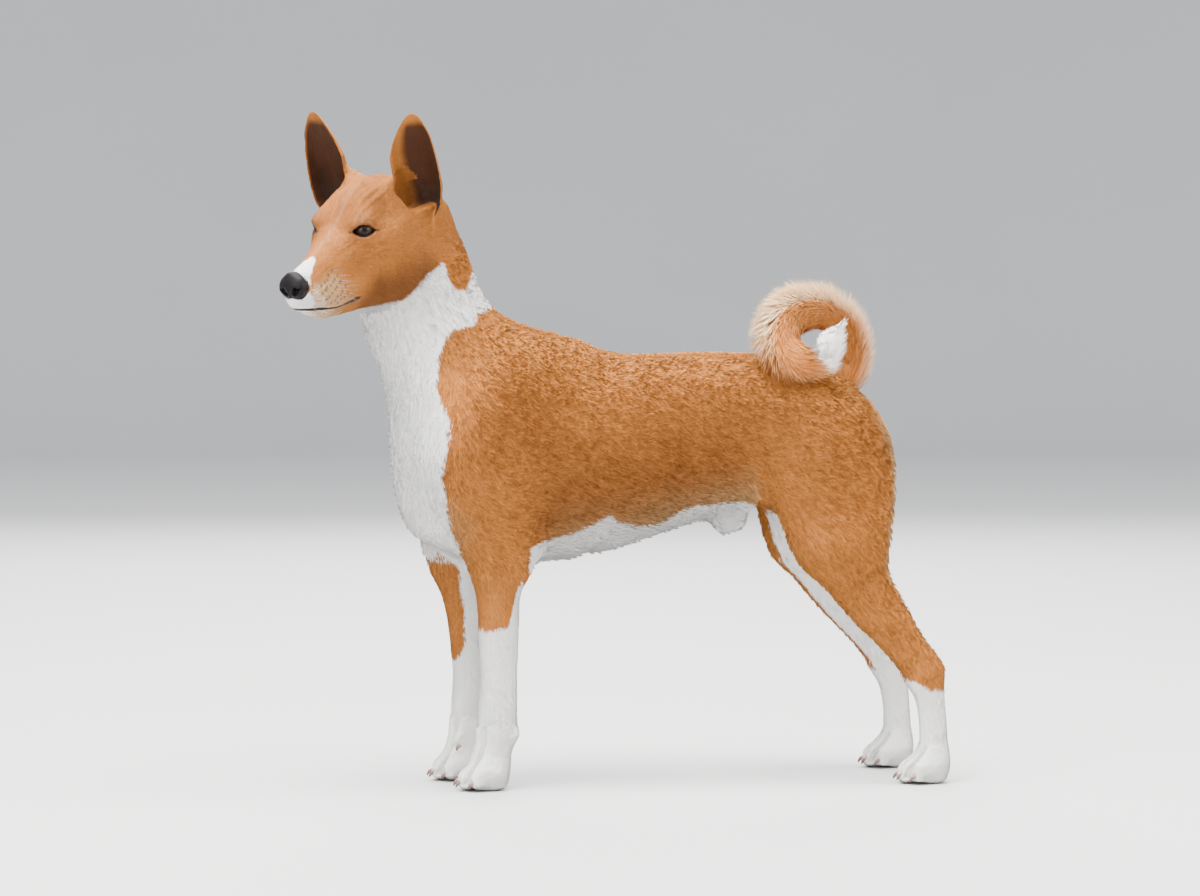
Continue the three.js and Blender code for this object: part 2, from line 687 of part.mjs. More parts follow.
function buildNeck() {
  const neck = solidOf(contour(body, grid([-270, -84, 320], [-50, 84, 570], [17, 15.3, 19])));
  const middle = cut(V(-172, 0, 436), V(-0.45, 0, 0.89));
  const whole = drop(keep(neck, CUTS.neckRoot), CUTS.throat);
  addNode(dog, "neck_lower", drop(whole, middle), RED_COAT);
  addNode(dog, "neck_upper", keep(whole, middle), RED_COAT);
}

// ---------------------------------------------------------------- spikes: claws and locks

// A generator of even random numbers that always starts the same.
function seeded(seed) {
  let state = seed;
  return () => {
    state = (state + 0x6d2b79f5) | 0;
    let t = Math.imul(state ^ (state >>> 15), 1 | state);
    t = (t + Math.imul(t ^ (t >>> 7), 61 | t)) ^ t;
    return ((t ^ (t >>> 14)) >>> 0) / 4294967296;
  };
}

// A tapered closed horn through `path`, ending in a point; sizes are half widths across and
// half thicknesses, one pair for each path point but the last.
function spike(path, across, sizes, sides) {
  const positions = [];
  const rings = path.length - 1;
  for (let i = 0; i < rings; i++) {
    const along = path[i + 1].clone().sub(path[Math.max(i - 1, 0)]).normalize();
    const wide = across.clone().addScaledVector(along, -across.dot(along)).normalize();
    const thin = along.clone().cross(wide);
    for (let k = 0; k < sides; k++) {
      const angle = (2 * Math.PI * k) / sides;
      const p = path[i].clone();
      p.addScaledVector(wide, Math.cos(angle) * sizes[i][0]);
      p.addScaledVector(thin, Math.sin(angle) * sizes[i][1]);
      positions.push(...p.toArray());
    }
  }
  positions.push(...path[rings].toArray());
  const tip = rings * sides;
  const faces = [];
  for (let k = 0; k < sides; k++) {
    const next = (k + 1) % sides;
    for (let i = 0; i < rings - 1; i++) {
      const [a, b] = [i * sides + k, i * sides + next];
      faces.push(a, b, b + sides, a, b + sides, a + sides);
    }
    faces.push((rings - 1) * sides + k, (rings - 1) * sides + next, tip);
    if (k > 1) faces.push(0, k, k - 1);
  }
  const geometry = new THREE.BufferGeometry();
  geometry.setAttribute("position", new THREE.Float32BufferAttribute(positions, 3));
  geometry.setIndex(faces);
  return geometry;
}

// ---------------------------------------------------------------- legs

const CLAW_BASE = 2.5; // half width where the claw leaves the toe

function clawPath(root, reach, fall) {
  const steps = [V(-3, 0, 0.6), V(1.2, 0, 0.4), V(0.55 * reach, 0, -0.25 * fall), V(reach, 0, -fall)];
  return steps.map((step) => step.add(root));
}

function claw(path, grow) {
  const sizes = [1, 1, 0.72].map((k) => [CLAW_BASE * k + grow, CLAW_BASE * 1.15 * k + grow]);
  return spike(path, V(0, 1, 0), sizes, 5);
}

// A paw with a socket for each claw, and its claws, parted by the gap.
function buildPaw(name, box, step, topCut) {
  const { frame, medial } = PAWS[name];
  let paw = keep(keep(solidOf(contour(body, grid(...box, step))), topCut), CUTS.floor);
  const paths = TOES.map((toe) =>
    clawPath(V(toe.reach + toe.size * 0.62, toeSide(toe, toe.reach + 4), toe.size * 1.1), 7.5, 5.4),
  );
  if (medial) paths.push(clawPath(V(3, 16 * medial, 33), 3.5, 7));
  paths.forEach((path, i) => {
    paw = paw.subtract(solidOf(claw(path, GAP).applyMatrix4(frame)));
    const mesh = new THREE.Mesh(claw(path, 0).applyMatrix4(frame), CLAW);
    mesh.name = `claw_${name}_${i + 1}`;
    dog.add(mesh);
  });
  addNode(dog, name, paw, WHITE_COAT);
}

function buildForeleg(sideName, sign, lead) {
  const y = LEG_FORE_Y * sign;
  const arm = contour(body, grid([-150 - lead, y - 34, 36], [-58 - lead, y + 34, 236], [9.2, 7.6, 22]));
  const leg = drop(keep(keep(solidOf(arm), CUTS.elbow), CUTS[sideName]), CUTS.wrist);
  addNode(dog, "foreleg_" + sideName, leg, RED_COAT);
  const box = [
    [-156 - lead, y - 30, -12],
    [-74 - lead, y + 30, 76],
  ];
  buildPaw("forepaw_" + sideName, box, [8.6, 5.7, 9.6], CUTS.wrist);
}

function buildHindleg(sideName, sign) {
  const y = LEG_HIND_Y * sign;
  const side = CUTS[sideName];
  const { flank, thigh, stifle, hock, hindPastern } = CUTS;
  const upper = solidOf(contour(body, grid([100, y - 60, 170], [312, y + 70, 330], [17.5, 14.5, 16])));
  addNode(dog, "thigh_" + sideName, drop(keep(keep(keep(upper, thigh), side), flank), stifle), RED_COAT);
  const shin = new THREE.Matrix4().makeRotationY(rad(-33)).setPosition(258, y, 160);
  const shinGrid = grid([-64, -36, -100], [66, 36, 104], [13, 9, 20]);
  const lower = contour(body, shinGrid, { frame: shin }).applyMatrix4(shin);
  addNode(dog, "gaskin_" + sideName, drop(keep(keep(solidOf(lower), stifle), side), hock), RED_COAT);
  const shank = solidOf(contour(body, grid([268, y - 26, 12], [342, y + 26, 134], [9, 7.4, 17])));
  addNode(dog, "hock_" + sideName, drop(keep(shank, hock), hindPastern), WHITE_COAT);
  const box = [
    [258, y - 30, -12],
    [336, y + 30, 52],
  ];
  buildPaw("hindpaw_" + sideName, box, [8.2, 5.7, 9.6], hindPastern);
}

// ---------------------------------------------------------------- head

// A slab seen from the side, from the line of the mouth down; `drop` lowers it.
const MOUTH = [
  [112, -27],
  [92, -32],
  [76, -39.5],
  [60, -46.5],
  [44, -50.5],
  [30, -54.5],
  [10, -58],
];

function belowMouth(lower) {
  const outline = new THREE.Shape();
  outline.moveTo(112, -120);
  MOUTH.forEach(([x, z]) => outline.lineTo(x, z - lower));
  outline.lineTo(10, -120);
  const slab = new THREE.ExtrudeGeometry(outline, { depth: 120, bevelEnabled: false });
  return slab.applyMatrix4(new THREE.Matrix4().makeRotationX(Math.PI / 2).setPosition(0, 60, 0));
}

// The eye's own axes on one side: out of the head, across the lids and up.
function eyeAxes(sign) {
  const look = EYE_LOOK.clone().multiply(V(1, sign, 1));
  const tilt = V(0, 0, 1).addScaledVector(V(0, sign, 0), 0.3);
  const across = tilt.clone().cross(look).normalize();
  return { at: EYE_AT.clone().multiply(V(1, sign, 1)), look, across, up: look.clone().cross(across) };
}

// The almond outline between the lids, as points (across, up).
function almond(grow) {
  const half = EYE_SLIT / 2 + grow;
  const shape = new THREE.Shape();
  shape.moveTo(-half, 0);
  shape.quadraticCurveTo(0, EYE_OPEN * 1.15 + grow * 2, half, 0);
  shape.quadraticCurveTo(0, -EYE_OPEN * 0.85 - grow * 2, -half, 0);
  return shape;
}

function eyeCutter({ at, look, across, up }) {
  const prism = new THREE.ExtrudeGeometry(almond(0), { depth: EYE_RADIUS + 6, bevelEnabled: false, curveSegments: 6 });
  prism.applyMatrix4(new THREE.Matrix4().makeBasis(across, up, look).setPosition(at));
  const socket = new THREE.SphereGeometry(EYE_RADIUS + 1.5 * GAP, 13, 8).translate(...at.toArray());
  return solidOf(prism).add(solidOf(socket));
}

function lids({ at, look, across, up }) {
  const radius = EYE_RADIUS + 0.7;
  const points = almond(0.7).getPoints(6).slice(0, -1);
  const path = points.map(({ x, y }) => {
    const out = Math.sqrt(Math.max(radius * radius - x * x - y * y, 9));
    return at.clone().addScaledVector(across, x).addScaledVector(up, y).addScaledVector(look, out);
  });
  const unique = path.filter((p, i) => p.distanceTo(path[(i + 1) % path.length]) > 0.4);
  return solidOf(new THREE.TubeGeometry(new THREE.CatmullRomCurve3(unique, true), 16, 1.3, 5, true));
}

const noseField = blendOf([
  ball(V(89.5, 0, -4), [9.5, 12.5, 12], { blend: 3 }),
  ball(V(89.5, 7.5, -7.5), [8, 6.5, 8.5], { blend: 4 }),
  ball(V(89.5, -7.5, -7.5), [8, 6.5, 8.5], { blend: 4 }),
  ball(V(86.5, 0, -16), [7, 5, 8], { blend: 4 }),
]);
const NOSE_GRID = grid([70, -20.5, -32], [106, 20.5, 16], [5, 4.55, 4.8]);

function buildHead() {
  const inverse = headFrame.clone().invert();
  const local = ({ at, normal }) => cut(at.clone().applyMatrix4(inverse), normal.clone().transformDirection(inverse));
  const throat = local(CUTS.throat);
  const stop = cut(V(24, 0, -30), V(1, 0, -0.12));
  const grids = [
    variedLines(-124, 52, 13.5, [[-20, 10, 6]]),
    variedLines(-66, 66, 12.5, [[-33, -9, 6], [9, 33, 6]]),
    variedLines(-104, 52, 13, [[-13, 11, 6]]),
  ];
  let skull = drop(keep(solidOf(contour(body, grids, { frame: headFrame })), throat), stop);
  for (const sign of [1, -1]) {
    const axes = eyeAxes(sign);
    skull = skull.add(lids(axes)).subtract(eyeCutter(axes));
    const eye = new THREE.Mesh(new THREE.SphereGeometry(EYE_RADIUS, 13, 8), EYE);
    eye.position.copy(axes.at);
    eye.name = sign > 0 ? "eye_left" : "eye_right";
    headGroup.add(eye);
  }
  for (const sign of [1, -1]) skull = skull.subtract(earHollow(sign));
  addNode(headGroup, "head", skull, RED_COAT);
  for (const sign of [1, -1]) addNode(headGroup, sign > 0 ? "ear_left" : "ear_right", earSolid(sign, grids), RED_COAT);

  const snoutGrid = grid([4, -42, -92], [112, 42, 24], [9, 7.6, 7.6]);
  const snout = keep(solidOf(contour(body, snoutGrid, { frame: headFrame })), stop);
  const inner = (p) => body(p) + 0.9;
  const chin = keep(solidOf(contour(inner, snoutGrid, { frame: headFrame })), stop);
  const noseRoom = solidOf(contour(noseField, NOSE_GRID, { lift: GAP + 0.1 }));
  addNode(headGroup, "muzzle", snout.subtract(solidOf(belowMouth(0))).subtract(noseRoom), WHITE_COAT);
  addNode(headGroup, "lower_jaw", chin.intersect(solidOf(belowMouth(2 * GAP))).subtract(noseRoom), WHITE_COAT);
  let nose = solidOf(contour(noseField, NOSE_GRID));
  for (const sign of [1, -1]) {
    const pit = new THREE.SphereGeometry(1, 7, 5).scale(6, 2.4, 3.1).rotateZ(0.35 * sign);
    nose = nose.subtract(solidOf(pit.translate(97.8, 6.6 * sign, -5)));
  }
  addNode(headGroup, "nose", nose, NOSE);
}

// ---------------------------------------------------------------- ears

// The left ear's opening lies in a plane with these axes, in the head's frame.
const EAR_AT = V(-67.7, 60.7, 0.4);
const EAR_UP = V(-0.172, -0.082, 0.982);
const EAR_OUT = V(-0.183, 0.982, 0.05);
const EAR_FACE = V(0.968, 0.171, 0.184);
const EAR_WALL = 2.6;
// Its outline, from the root to the tip: [height, inner edge, outer edge, depth of the cup]
const EAR = [
  [-34, -19, -7, 10],
  [-20, -23, -2, 16],
  [-10, -28, 6, 21],
  [6, -31, 11, 24],
  [24, -33, 13, 20],
  [42, -31.5, 13.5, 14],
  [58, -24, 12.5, 8],
  [70, -15, 9, 4.5],
  [77.5, -8, 5, 2],
  [81, -3, 2, 1],
];
const EAR_COLUMNS = 7;
const EAR_SWEEP = rad(78);
const EAR_FLOOR = 2; // rows below the floor of the cup
const EAR_MOUTH = 7; // the hollow reaches this far in front of the opening

// The points of the cup's inner face, row by row from the root, and of its back.
function earSheets() {
  const inner = [];
  const outer = [];
  for (const [height, medial, lateral, depth] of EAR) {
    for (let c = 0; c < EAR_COLUMNS; c++) {
      const turn = EAR_SWEEP * ((2 * c) / (EAR_COLUMNS - 1) - 1);
      const half = (lateral - medial) / 2;
      const out = (lateral + medial) / 2 + (half * Math.sin(turn)) / Math.sin(EAR_SWEEP);
      const back = (depth * (Math.cos(turn) - Math.cos(EAR_SWEEP))) / (1 - Math.cos(EAR_SWEEP));
      const p = EAR_AT.clone().addScaledVector(EAR_UP, height).addScaledVector(EAR_OUT, out);
      p.addScaledVector(EAR_FACE, -back);
      const wall = EAR_OUT.clone().multiplyScalar(Math.sin(turn) * depth);
      wall.addScaledVector(EAR_FACE, -Math.cos(turn) * half).normalize();
      inner.push(p);
      outer.push(p.clone().addScaledVector(wall, EAR_WALL * (1 - (0.35 * Math.abs(turn)) / EAR_SWEEP)));
    }
  }
  return { inner, outer };
}

const closed = (geometry) => (solidOf(geometry).volume() < 0 ? flipped(geometry) : solidOf(geometry));

// The room inside the cup, out to a little in front of its opening.
function earHollow(sign) {
  const from = EAR_COLUMNS * EAR_FLOOR;
  const inner = earSheets().inner.slice(from);
  const front = inner.map((p) => {
    const ahead = EAR_FACE.dot(p.clone().sub(EAR_AT));
    return p.clone().addScaledVector(EAR_FACE, EAR_MOUTH - ahead);
  });
  return closed(shell(inner, front, EAR.length - EAR_FLOOR, EAR_COLUMNS, sign));
}

// Two like sheets of points, joined round their edges into one closed wall.
function shell(inner, outer, rows, columns, sign) {
  const count = rows * columns;
  const positions = [...inner, ...outer].flatMap((p) => [p.x, p.y * sign, p.z]);
  const faces = [];
  const quad = (a, b, c, d) => faces.push(a, b, c, a, c, d);
  for (let r = 0; r < rows - 1; r++)
    for (let c = 0; c < columns - 1; c++) {
      const a = r * columns + c;
      quad(a, a + columns, a + columns + 1, a + 1);
      faces.push(a + count, a + 1 + count, a + columns + 1 + count);
      faces.push(a + count, a + columns + 1 + count, a + columns + count);
    }
  const edge = [];
  for (let c = 0; c < columns - 1; c++) edge.push([c, c + 1]);
  for (let r = 0; r < rows - 1; r++) edge.push([(r + 1) * columns - 1, (r + 2) * columns - 1]);
  for (let c = columns - 1; c > 0; c--) edge.push([(rows - 1) * columns + c, (rows - 1) * columns + c - 1]);
  for (let r = rows - 1; r > 0; r--) edge.push([r * columns, (r - 1) * columns]);
  edge.forEach(([a, b]) => quad(a, b, b + count, a + count));
  if (sign < 0) for (let i = 0; i < faces.length; i += 3) [faces[i], faces[i + 1]] = [faces[i + 1], faces[i]];
  const geometry = new THREE.BufferGeometry();
  geometry.setAttribute("position", new THREE.Float32BufferAttribute(positions, 3));
  geometry.setIndex(faces);
  return geometry;
}

function earSolid(sign, grids) {
  const room = solidOf(contour(body, grids, { frame: headFrame, lift: 2 * GAP }));
  const { inner, outer } = earSheets();
  return closed(shell(inner, outer, EAR.length, EAR_COLUMNS, sign)).subtract(room);
}

function flipped(geometry) {
  const index = geometry.index.array;
  for (let i = 0; i < index.length; i += 3) [index[i], index[i + 1]] = [index[i + 1], index[i]];
  return solidOf(geometry);
}

// ---------------------------------------------------------------- tail

// The curl runs up from the rump, over and down its left side, round a hub.
const HUB = V(200, 0, 416);
const HUB_LEAN = 0.19; // how far the curl moves forward for each millimetre to the left
const HUB_DROP = -0.04; // and upwards
// [angle about the hub, radius of the middle, y, half depth, half width]
const CURL = [
  [-62, 60, 2, 18, 17],
  [-40, 50, 0, 17, 16],
  [0, 40, -3, 17, 15],
  [45, 33.5, -8, 19, 15],
  [90, 28.5, -16, 21.5, 16],
  [135, 29.5, -25, 23, 16],
  [180, 29.5, -34, 22.5, 16],
  [225, 26, -42, 18.5, 15.5],
  [270, 22.5, -48, 14.5, 14.5],
  [315, 26, -51, 13.5, 14],
  [345, 28, -52, 12.5, 13],
  [370, 35, -52, 8.5, 9],
  [384, 43, -52, 3, 3.5],
];

const curlPoint = ([angle, radius, y]) => {
  const a = rad(angle);
  return V(HUB.x + HUB_LEAN * y + radius * Math.cos(a), y, HUB.z + HUB_DROP * y + radius * Math.sin(a));
};
const TAIL_NODES = [
  ["tail_root", -52, 20],
  ["tail_rise", 20, 80],
  ["tail_top", 80, 145],
  ["tail_fall", 145, 215],
  ["tail_under", 215, 300],
  ["tail_tip", 300, 400],
];

// The core under the coat, as shares of the sizes in CURL: outer side, inner side, width.
const CORE = { outer: 0.7, inner: 0.86, wide: 0.8 };
const LOCK_TURNS = [-98, -50, 0, 50, 98]; // places round the section, 0 is the outer side
const LOCK_PITCH = 43; // degrees along the curl from one row of locks to the next
const LOCK_LENGTH = 54; // degrees along the curl
const LOCK_SIZES = [
  [7, 2],
  [9.6, 2.4],
  [6.4, 1.6],
];

function curlRow(angle) {
  const k = Math.min(Math.max(CURL.findIndex(([c]) => c >= angle), 1), CURL.length - 1);
  const [a, b] = [CURL[k - 1], CURL[k]];
  const t = (angle - a[0]) / (b[0] - a[0]);
  return a.map((value, i) => lerp(value, b[i], t));
}

// A point beside the curl: `lift` runs from 0 on the core to 1 at the ends of the coat.
function coatPoint(angle, turn, lift) {
  const row = curlRow(angle);
  const centre = curlPoint(row);
  const along = curlPoint(curlRow(angle + 3)).sub(curlPoint(curlRow(angle - 3))).normalize();
  const side = V(0, 1, 0).addScaledVector(along, -along.y).normalize();
  const out = side.clone().cross(along);
  const [c, s] = [Math.cos(rad(turn)), Math.sin(rad(turn))];
  const core = 1 / Math.hypot(c / (row[3] * (c > 0 ? CORE.outer : CORE.inner)), s / (row[4] * CORE.wide));
  const full = 1 / Math.hypot(c / row[3], s / row[4]);
  const reach = lerp(core, full, lift);
  return centre.addScaledVector(out, c * reach).addScaledVector(side, s * reach);
}

// Flat tapered locks in staggered rows along the curl, each bent along it: [first angle, solid]
function tailLocks() {
  const random = seeded(7);
  const locks = [];
  const last = CURL.at(-1)[0];
  for (let row = 0, start = -46; start < 352; row++, start += LOCK_PITCH) {
    const every = curlRow(start + LOCK_LENGTH / 2)[3] < 16.5 ? 2 : 1; // fewer where the tail is thin
    const turns = LOCK_TURNS.map((turn) => turn + (row % 2 ? 25 : 0)).filter((turn, i) => turn < 110 && i % every === 0);
    for (const turn of turns) {
      const from = start + (random() - 0.5) * 12;
      const length = Math.min(LOCK_LENGTH * (0.88 + 0.24 * random()), last - from);
      const sway = (random() - 0.5) * 24;
      const place = [-0.5, 0.4, 0.8, 1 + 0.1 * random()];
      const path = [0, 0.22, 0.6, 1].map((t, i) => coatPoint(from + length * t, turn + sway * t, place[i]));
      const across = coatPoint(from + length / 2, turn + 10, 0.5).sub(coatPoint(from + length / 2, turn - 10, 0.5));
      const slim = Math.min(1, curlRow(from + length / 2)[4] / 13);
      const sizes = LOCK_SIZES.map(([wide, thick]) => [wide * slim, thick * slim]);
      locks.push({ from, to: from + length, solid: closed(spike(path, across.normalize(), sizes, 4)) });
    }
  }
  return locks;
}

function buildTail() {
  const croupRoom = solidOf(contour(body, CROUP_GRID, { lift: GAP }));
  const locks = tailLocks();
  TAIL_NODES.forEach(([name, from, to], i) => {
    const rows = CURL.filter(([angle]) => angle > from - 75 && angle < to + 75);
    const own = rows.map((row) => [
      ...curlPoint(row).toArray(),
      row[4] * CORE.wide,
      row[3] * CORE.inner,
      row[3] * CORE.outer,
    ]);
    const field = blendOf([tube(own, { steps: 5 })]);
    const box = new THREE.Box3().setFromPoints(own.map(([x, y, z]) => V(x, y, z))).expandByScalar(28);
    let solid = solidOf(contour(field, grid(box.min.toArray(), box.max.toArray(), [13, 11, 13])));
    for (const lock of locks) if (lock.to > from && lock.from < to) solid = solid.add(lock.solid);
    if (i > 0) solid = solid.trimByPlane(...planeAcross(from, 1));
    if (i < TAIL_NODES.length - 1) solid = solid.trimByPlane(...planeAcross(to, -1));
    addNode(dog, name, solid.subtract(croupRoom), name === "tail_tip" ? WHITE_COAT : CREAM_COAT);
  });
}

// The plane across the curl at an angle, as trimByPlane takes it.
function planeAcross(angle, way) {
  const at = (a) => curlPoint(curlRow(a));
  const normal = at(angle + 4).sub(at(angle - 4)).normalize().multiplyScalar(way);
  return [normal.toArray(), normal.dot(at(angle)) + GAP / 2];
}

// ---------------------------------------------------------------- build

buildTrunk();
buildNeck();
buildForeleg("left", -1, 0);
buildForeleg("right", 1, FAR_FORE_LEAD);
buildHindleg("left", -1);
buildHindleg("right", 1);
buildHead();
buildTail();

const extent = new THREE.Box3().setFromObject(dog, true);
const middle = extent.getCenter(V(0, 0, 0));
dog.position.set(-middle.x, -middle.y, 0);

export default dog;
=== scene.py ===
"""A standing red and white dog: one skin over the solids of the body, with eyes, lids,
nose, lips, claws, whiskers and a coat of mesh tufts that lie along the body."""

import math

import bpy
import numpy as np
from mathutils import Matrix, Vector
from mathutils.bvhtree import BVHTree


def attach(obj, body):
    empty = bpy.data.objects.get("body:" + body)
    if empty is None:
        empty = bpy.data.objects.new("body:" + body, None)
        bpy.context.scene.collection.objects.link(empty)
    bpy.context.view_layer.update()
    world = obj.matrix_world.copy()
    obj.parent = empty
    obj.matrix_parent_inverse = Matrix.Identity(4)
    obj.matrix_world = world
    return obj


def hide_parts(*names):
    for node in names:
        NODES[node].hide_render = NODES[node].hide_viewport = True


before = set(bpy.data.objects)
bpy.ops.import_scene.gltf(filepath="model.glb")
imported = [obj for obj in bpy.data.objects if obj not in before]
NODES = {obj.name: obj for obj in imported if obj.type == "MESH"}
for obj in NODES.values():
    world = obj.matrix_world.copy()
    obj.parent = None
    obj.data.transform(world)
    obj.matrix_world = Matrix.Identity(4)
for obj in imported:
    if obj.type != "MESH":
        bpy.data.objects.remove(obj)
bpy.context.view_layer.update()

bl_info = {
    "name": "Standing dog",
    "version": (1, 0, 0),
    "blender": (4, 5, 0),
    "location": "View3D > Sidebar > Dog",
    "description": "Dresses the solids of a standing dog with skin, coat, eyes, nose and claws",
    "category": "Object",
}

MM = 0.001
SEED = 11

# ---------------------------------------------------------------- places on the dog

# The head's own frame, in millimetres: x forward along the bridge of the nose, y to the
# dog's left, z up. It is hung on the two eyes.
HEAD_TURN = (
    Matrix.Rotation(math.radians(49), 4, "Z")
    @ Matrix.Diagonal((-1, -1, 1, 1))
    @ Matrix.Rotation(math.radians(29.7), 4, "Y")
    @ Matrix.Rotation(math.radians(-2), 4, "X")
)
EYE_AT = Vector((-8.5, 19.2, -1.2))
EYE_LOOK = Vector((0.74, 0.64, 0.24)).normalized()
EYE_RADIUS = 11.5
EYE_SLIT = 22.5  # length of the opening between the lids
EYE_OPEN = 11  # its height

# The left ear in the head's frame: a point in its opening's plane, the way to its tip, to
# its outer edge and out of the cup, and its outline from the root up: height, inner edge,
# outer edge, depth of the cup.
EAR_AT = (-67.7, 60.7, 0.4)
EAR_UP = (-0.172, -0.082, 0.982)
EAR_OUT = (-0.183, 0.982, 0.05)
EAR_FACE = (0.968, 0.171, 0.184)
EAR = [
    (-34, -19, -7, 10),
    (-20, -23, -2, 16),
    (-10, -28, 6, 21),
    (6, -31, 11, 24),
    (24, -33, 13, 20),
    (42, -31.5, 13.5, 14),
    (58, -24, 12.5, 8),
    (70, -15, 9, 4.5),
    (81, -3, 2, 1),
]

# The body's own middle lies this far from the middle of the whole dog, in mm.
BODY_AT = Vector((-3.7, 19.7, 0))
HEAD_AT = Vector((-253.6, -60, 516.7)) + BODY_AT
HEAD = Matrix.Scale(MM, 4) @ Matrix.Translation(HEAD_AT) @ HEAD_TURN

# The tail's curl, one row for each place along it: angle round the hub, radius, shift to
# the side, half depth and half width of the tail with its coat, all but the angle in mm.
TAIL_HUB = Vector((200, 0, 416)) + BODY_AT
TAIL_LEAN = 0.19
TAIL_DROP = -0.04
TAIL_CURL = [
    (-62, 60, 2, 18, 17), (-40, 50, 0, 17, 16), (0, 40, -3, 17, 15), (45, 33.5, -8, 19, 15),
    (90, 28.5, -16, 21.5, 16), (135, 29.5, -25, 23, 16), (180, 29.5, -34, 22.5, 16),
    (225, 26, -42, 18.5, 15.5), (270, 22.5, -48, 14.5, 14.5), (300, 22.5, -50.5, 14, 14),
    (328, 20, -52, 14.5, 13.5), (351, 17.5, -52, 13.5, 12.5), (371, 22, -52, 10, 9.5),
    (381, 29.5, -52, 6, 6.5), (388, 39, -52, 2.5, 3),
]
TAIL_CORE = [  # angle, and the core's share of the coat's outer half, inner half and width
    (-62, 0.9, 0.95, 0.9),
    (-25, 0.8, 0.95, 0.88),
    (30, 0.6, 0.95, 0.76),
    (240, 0.6, 0.97, 0.78),
    (290, 0.84, 0.95, 0.88),
    (345, 0.92, 0.95, 0.92),
    (388, 0.6, 0.6, 0.6),
]
TAIL_WHITE = 286  # the tip is white from this angle on

EYES = ["eye_left", "eye_right"]
TAIL = ["tail_root", "tail_rise", "tail_top", "tail_fall", "tail_under", "tail_tip"]
CLAWS = sorted(name for name in NODES if name.startswith("claw_"))
FLESH = sorted(set(NODES) - set(EYES) - set(TAIL) - set(CLAWS) - {"nose"})
PAWS = ["forepaw_left", "forepaw_right", "hindpaw_left", "hindpaw_right"]
SIDES = {1: "left", -1: "right"}

# Each region of the body: coat length, tuft width and height of the coat over the skin,
# all in mm, and how much the skin's facets are smoothed, 1 being the most.
REGIONS = {
    "trunk": (6.8, 0.74, 1.5, 1.0),
    "neck": (6.8, 0.72, 1.5, 0.7),
    "head": (4.4, 0.5, 0.85, 0.07),
    "muzzle": (2.6, 0.4, 0.6, 0.05),
    "ear": (2.8, 0.44, 0.45, 0.06),
    "thigh": (6.6, 0.72, 1.5, 0.9),
    "gaskin": (5.8, 0.64, 1.1, 0.6),
    "foreleg": (5.0, 0.6, 0.9, 0.45),
    "hock": (4.2, 0.54, 0.75, 0.3),
    "paw": (3.0, 0.46, 0.55, 0.05),
    "tail": (8.5, 0.75, 1.2, 0.1),
}
REGION_OF = {
    "chest": "trunk",
    "loin": "trunk",
    "croup": "trunk",
    "neck_lower": "neck",
    "neck_upper": "neck",
    "lower_jaw": "muzzle",
    "forepaw": "paw",
    "hindpaw": "paw",
}
REGION_NAMES = list(REGIONS)


def region_of(node):
    """The region of the body that a solid of flesh belongs to."""
    plain = node.replace("_left", "").replace("_right", "")
    return REGION_OF.get(plain, plain)


# ---------------------------------------------------------------- small tools


def only(*objects):
    """Selects these objects and nothing else, the first one active."""
    bpy.ops.object.select_all(action="DESELECT")
    for item in objects:
        item.select_set(True)
    bpy.context.view_layer.objects.active = objects[0]


def linked(name, mesh):
    """A new object of this mesh, camera or light in the scene."""
    made = bpy.data.objects.new(name, mesh)
    bpy.context.scene.collection.objects.link(made)
    return made


def piece_from(name, points, faces):
    """A new object with its place in its mesh."""
    mesh = bpy.data.meshes.new(name)
    mesh.from_pydata([tuple(p) for p in points], [], faces)
    return linked(name, mesh)


def copied(item):
    """A copy of an object, with a mesh of its own."""
    copy = item.copy()
    copy.data = item.data.copy()
    bpy.context.scene.collection.objects.link(copy)
    return copy


def joined(*items):
    """The first of the objects, with all the others joined to it."""
    only(*items)
    if len(items) > 1:
        bpy.ops.object.join()
    return items[0]


def applied(item, kind, **values):
    """Adds a modifier with these values and applies it."""
    only(item)
    modifier = item.modifiers.new(kind.title(), kind)
    for key, value in values.items():
        setattr(modifier, key, value)
    bpy.ops.object.modifier_apply(modifier=modifier.name)


def edited(item, operator, **values):
    """Runs an operator of edit mode on the whole of an object."""
    only(item)
    bpy.ops.object.mode_set(mode="EDIT")
    bpy.ops.mesh.select_all(action="SELECT")
    operator(**values)
    bpy.ops.object.mode_set(mode="OBJECT")


def outward(item):
    """Turns the faces of a closed piece outwards."""
    edited(item, bpy.ops.mesh.normals_make_consistent, inside=False)


def smooth_shaded(item):
    """The piece, shaded smooth."""
    only(item)
    bpy.ops.object.shade_smooth()
    return item


def finished(item):
    """The piece, rounded once by subdivision and shaded smooth."""
    applied(item, "SUBSURF", levels=1, render_levels=1)
    return smooth_shaded(item)


def attribute(mesh, name, kind, values, domain="POINT"):
    """Stores an array on the mesh, four numbers for a colour, three for a vector."""
    made = mesh.attributes.get(name) or mesh.attributes.new(name, kind, domain)
    key = {"FLOAT_COLOR": "color", "FLOAT_VECTOR": "vector"}.get(kind, "value")
    number = np.int32 if kind == "INT" else np.float32
    made.data.foreach_set(key, np.ascontiguousarray(values, dtype=number).ravel())


def read(items, key, width, number=float):
    """A property of all these items, as an array with a row for each."""
    flat = np.empty(len(items) * width, dtype=number)
    items.foreach_get(key, flat)
    return flat.reshape(-1, width) if width > 1 else flat


def read_attribute(mesh, name, width):
    """The array stored under that name."""
    key = {4: "color", 3: "vector"}.get(width, "value")
    number = np.int32 if mesh.attributes[name].data_type == "INT" else np.float32
    return read(mesh.attributes[name].data, key, width, number)


def positions(mesh):
    """The vertices as an array of rows."""
    return read(mesh.vertices, "co", 3)


def normals(mesh):
    """The vertex normals as an array of rows."""
    return read(mesh.vertex_normals, "vector", 3)


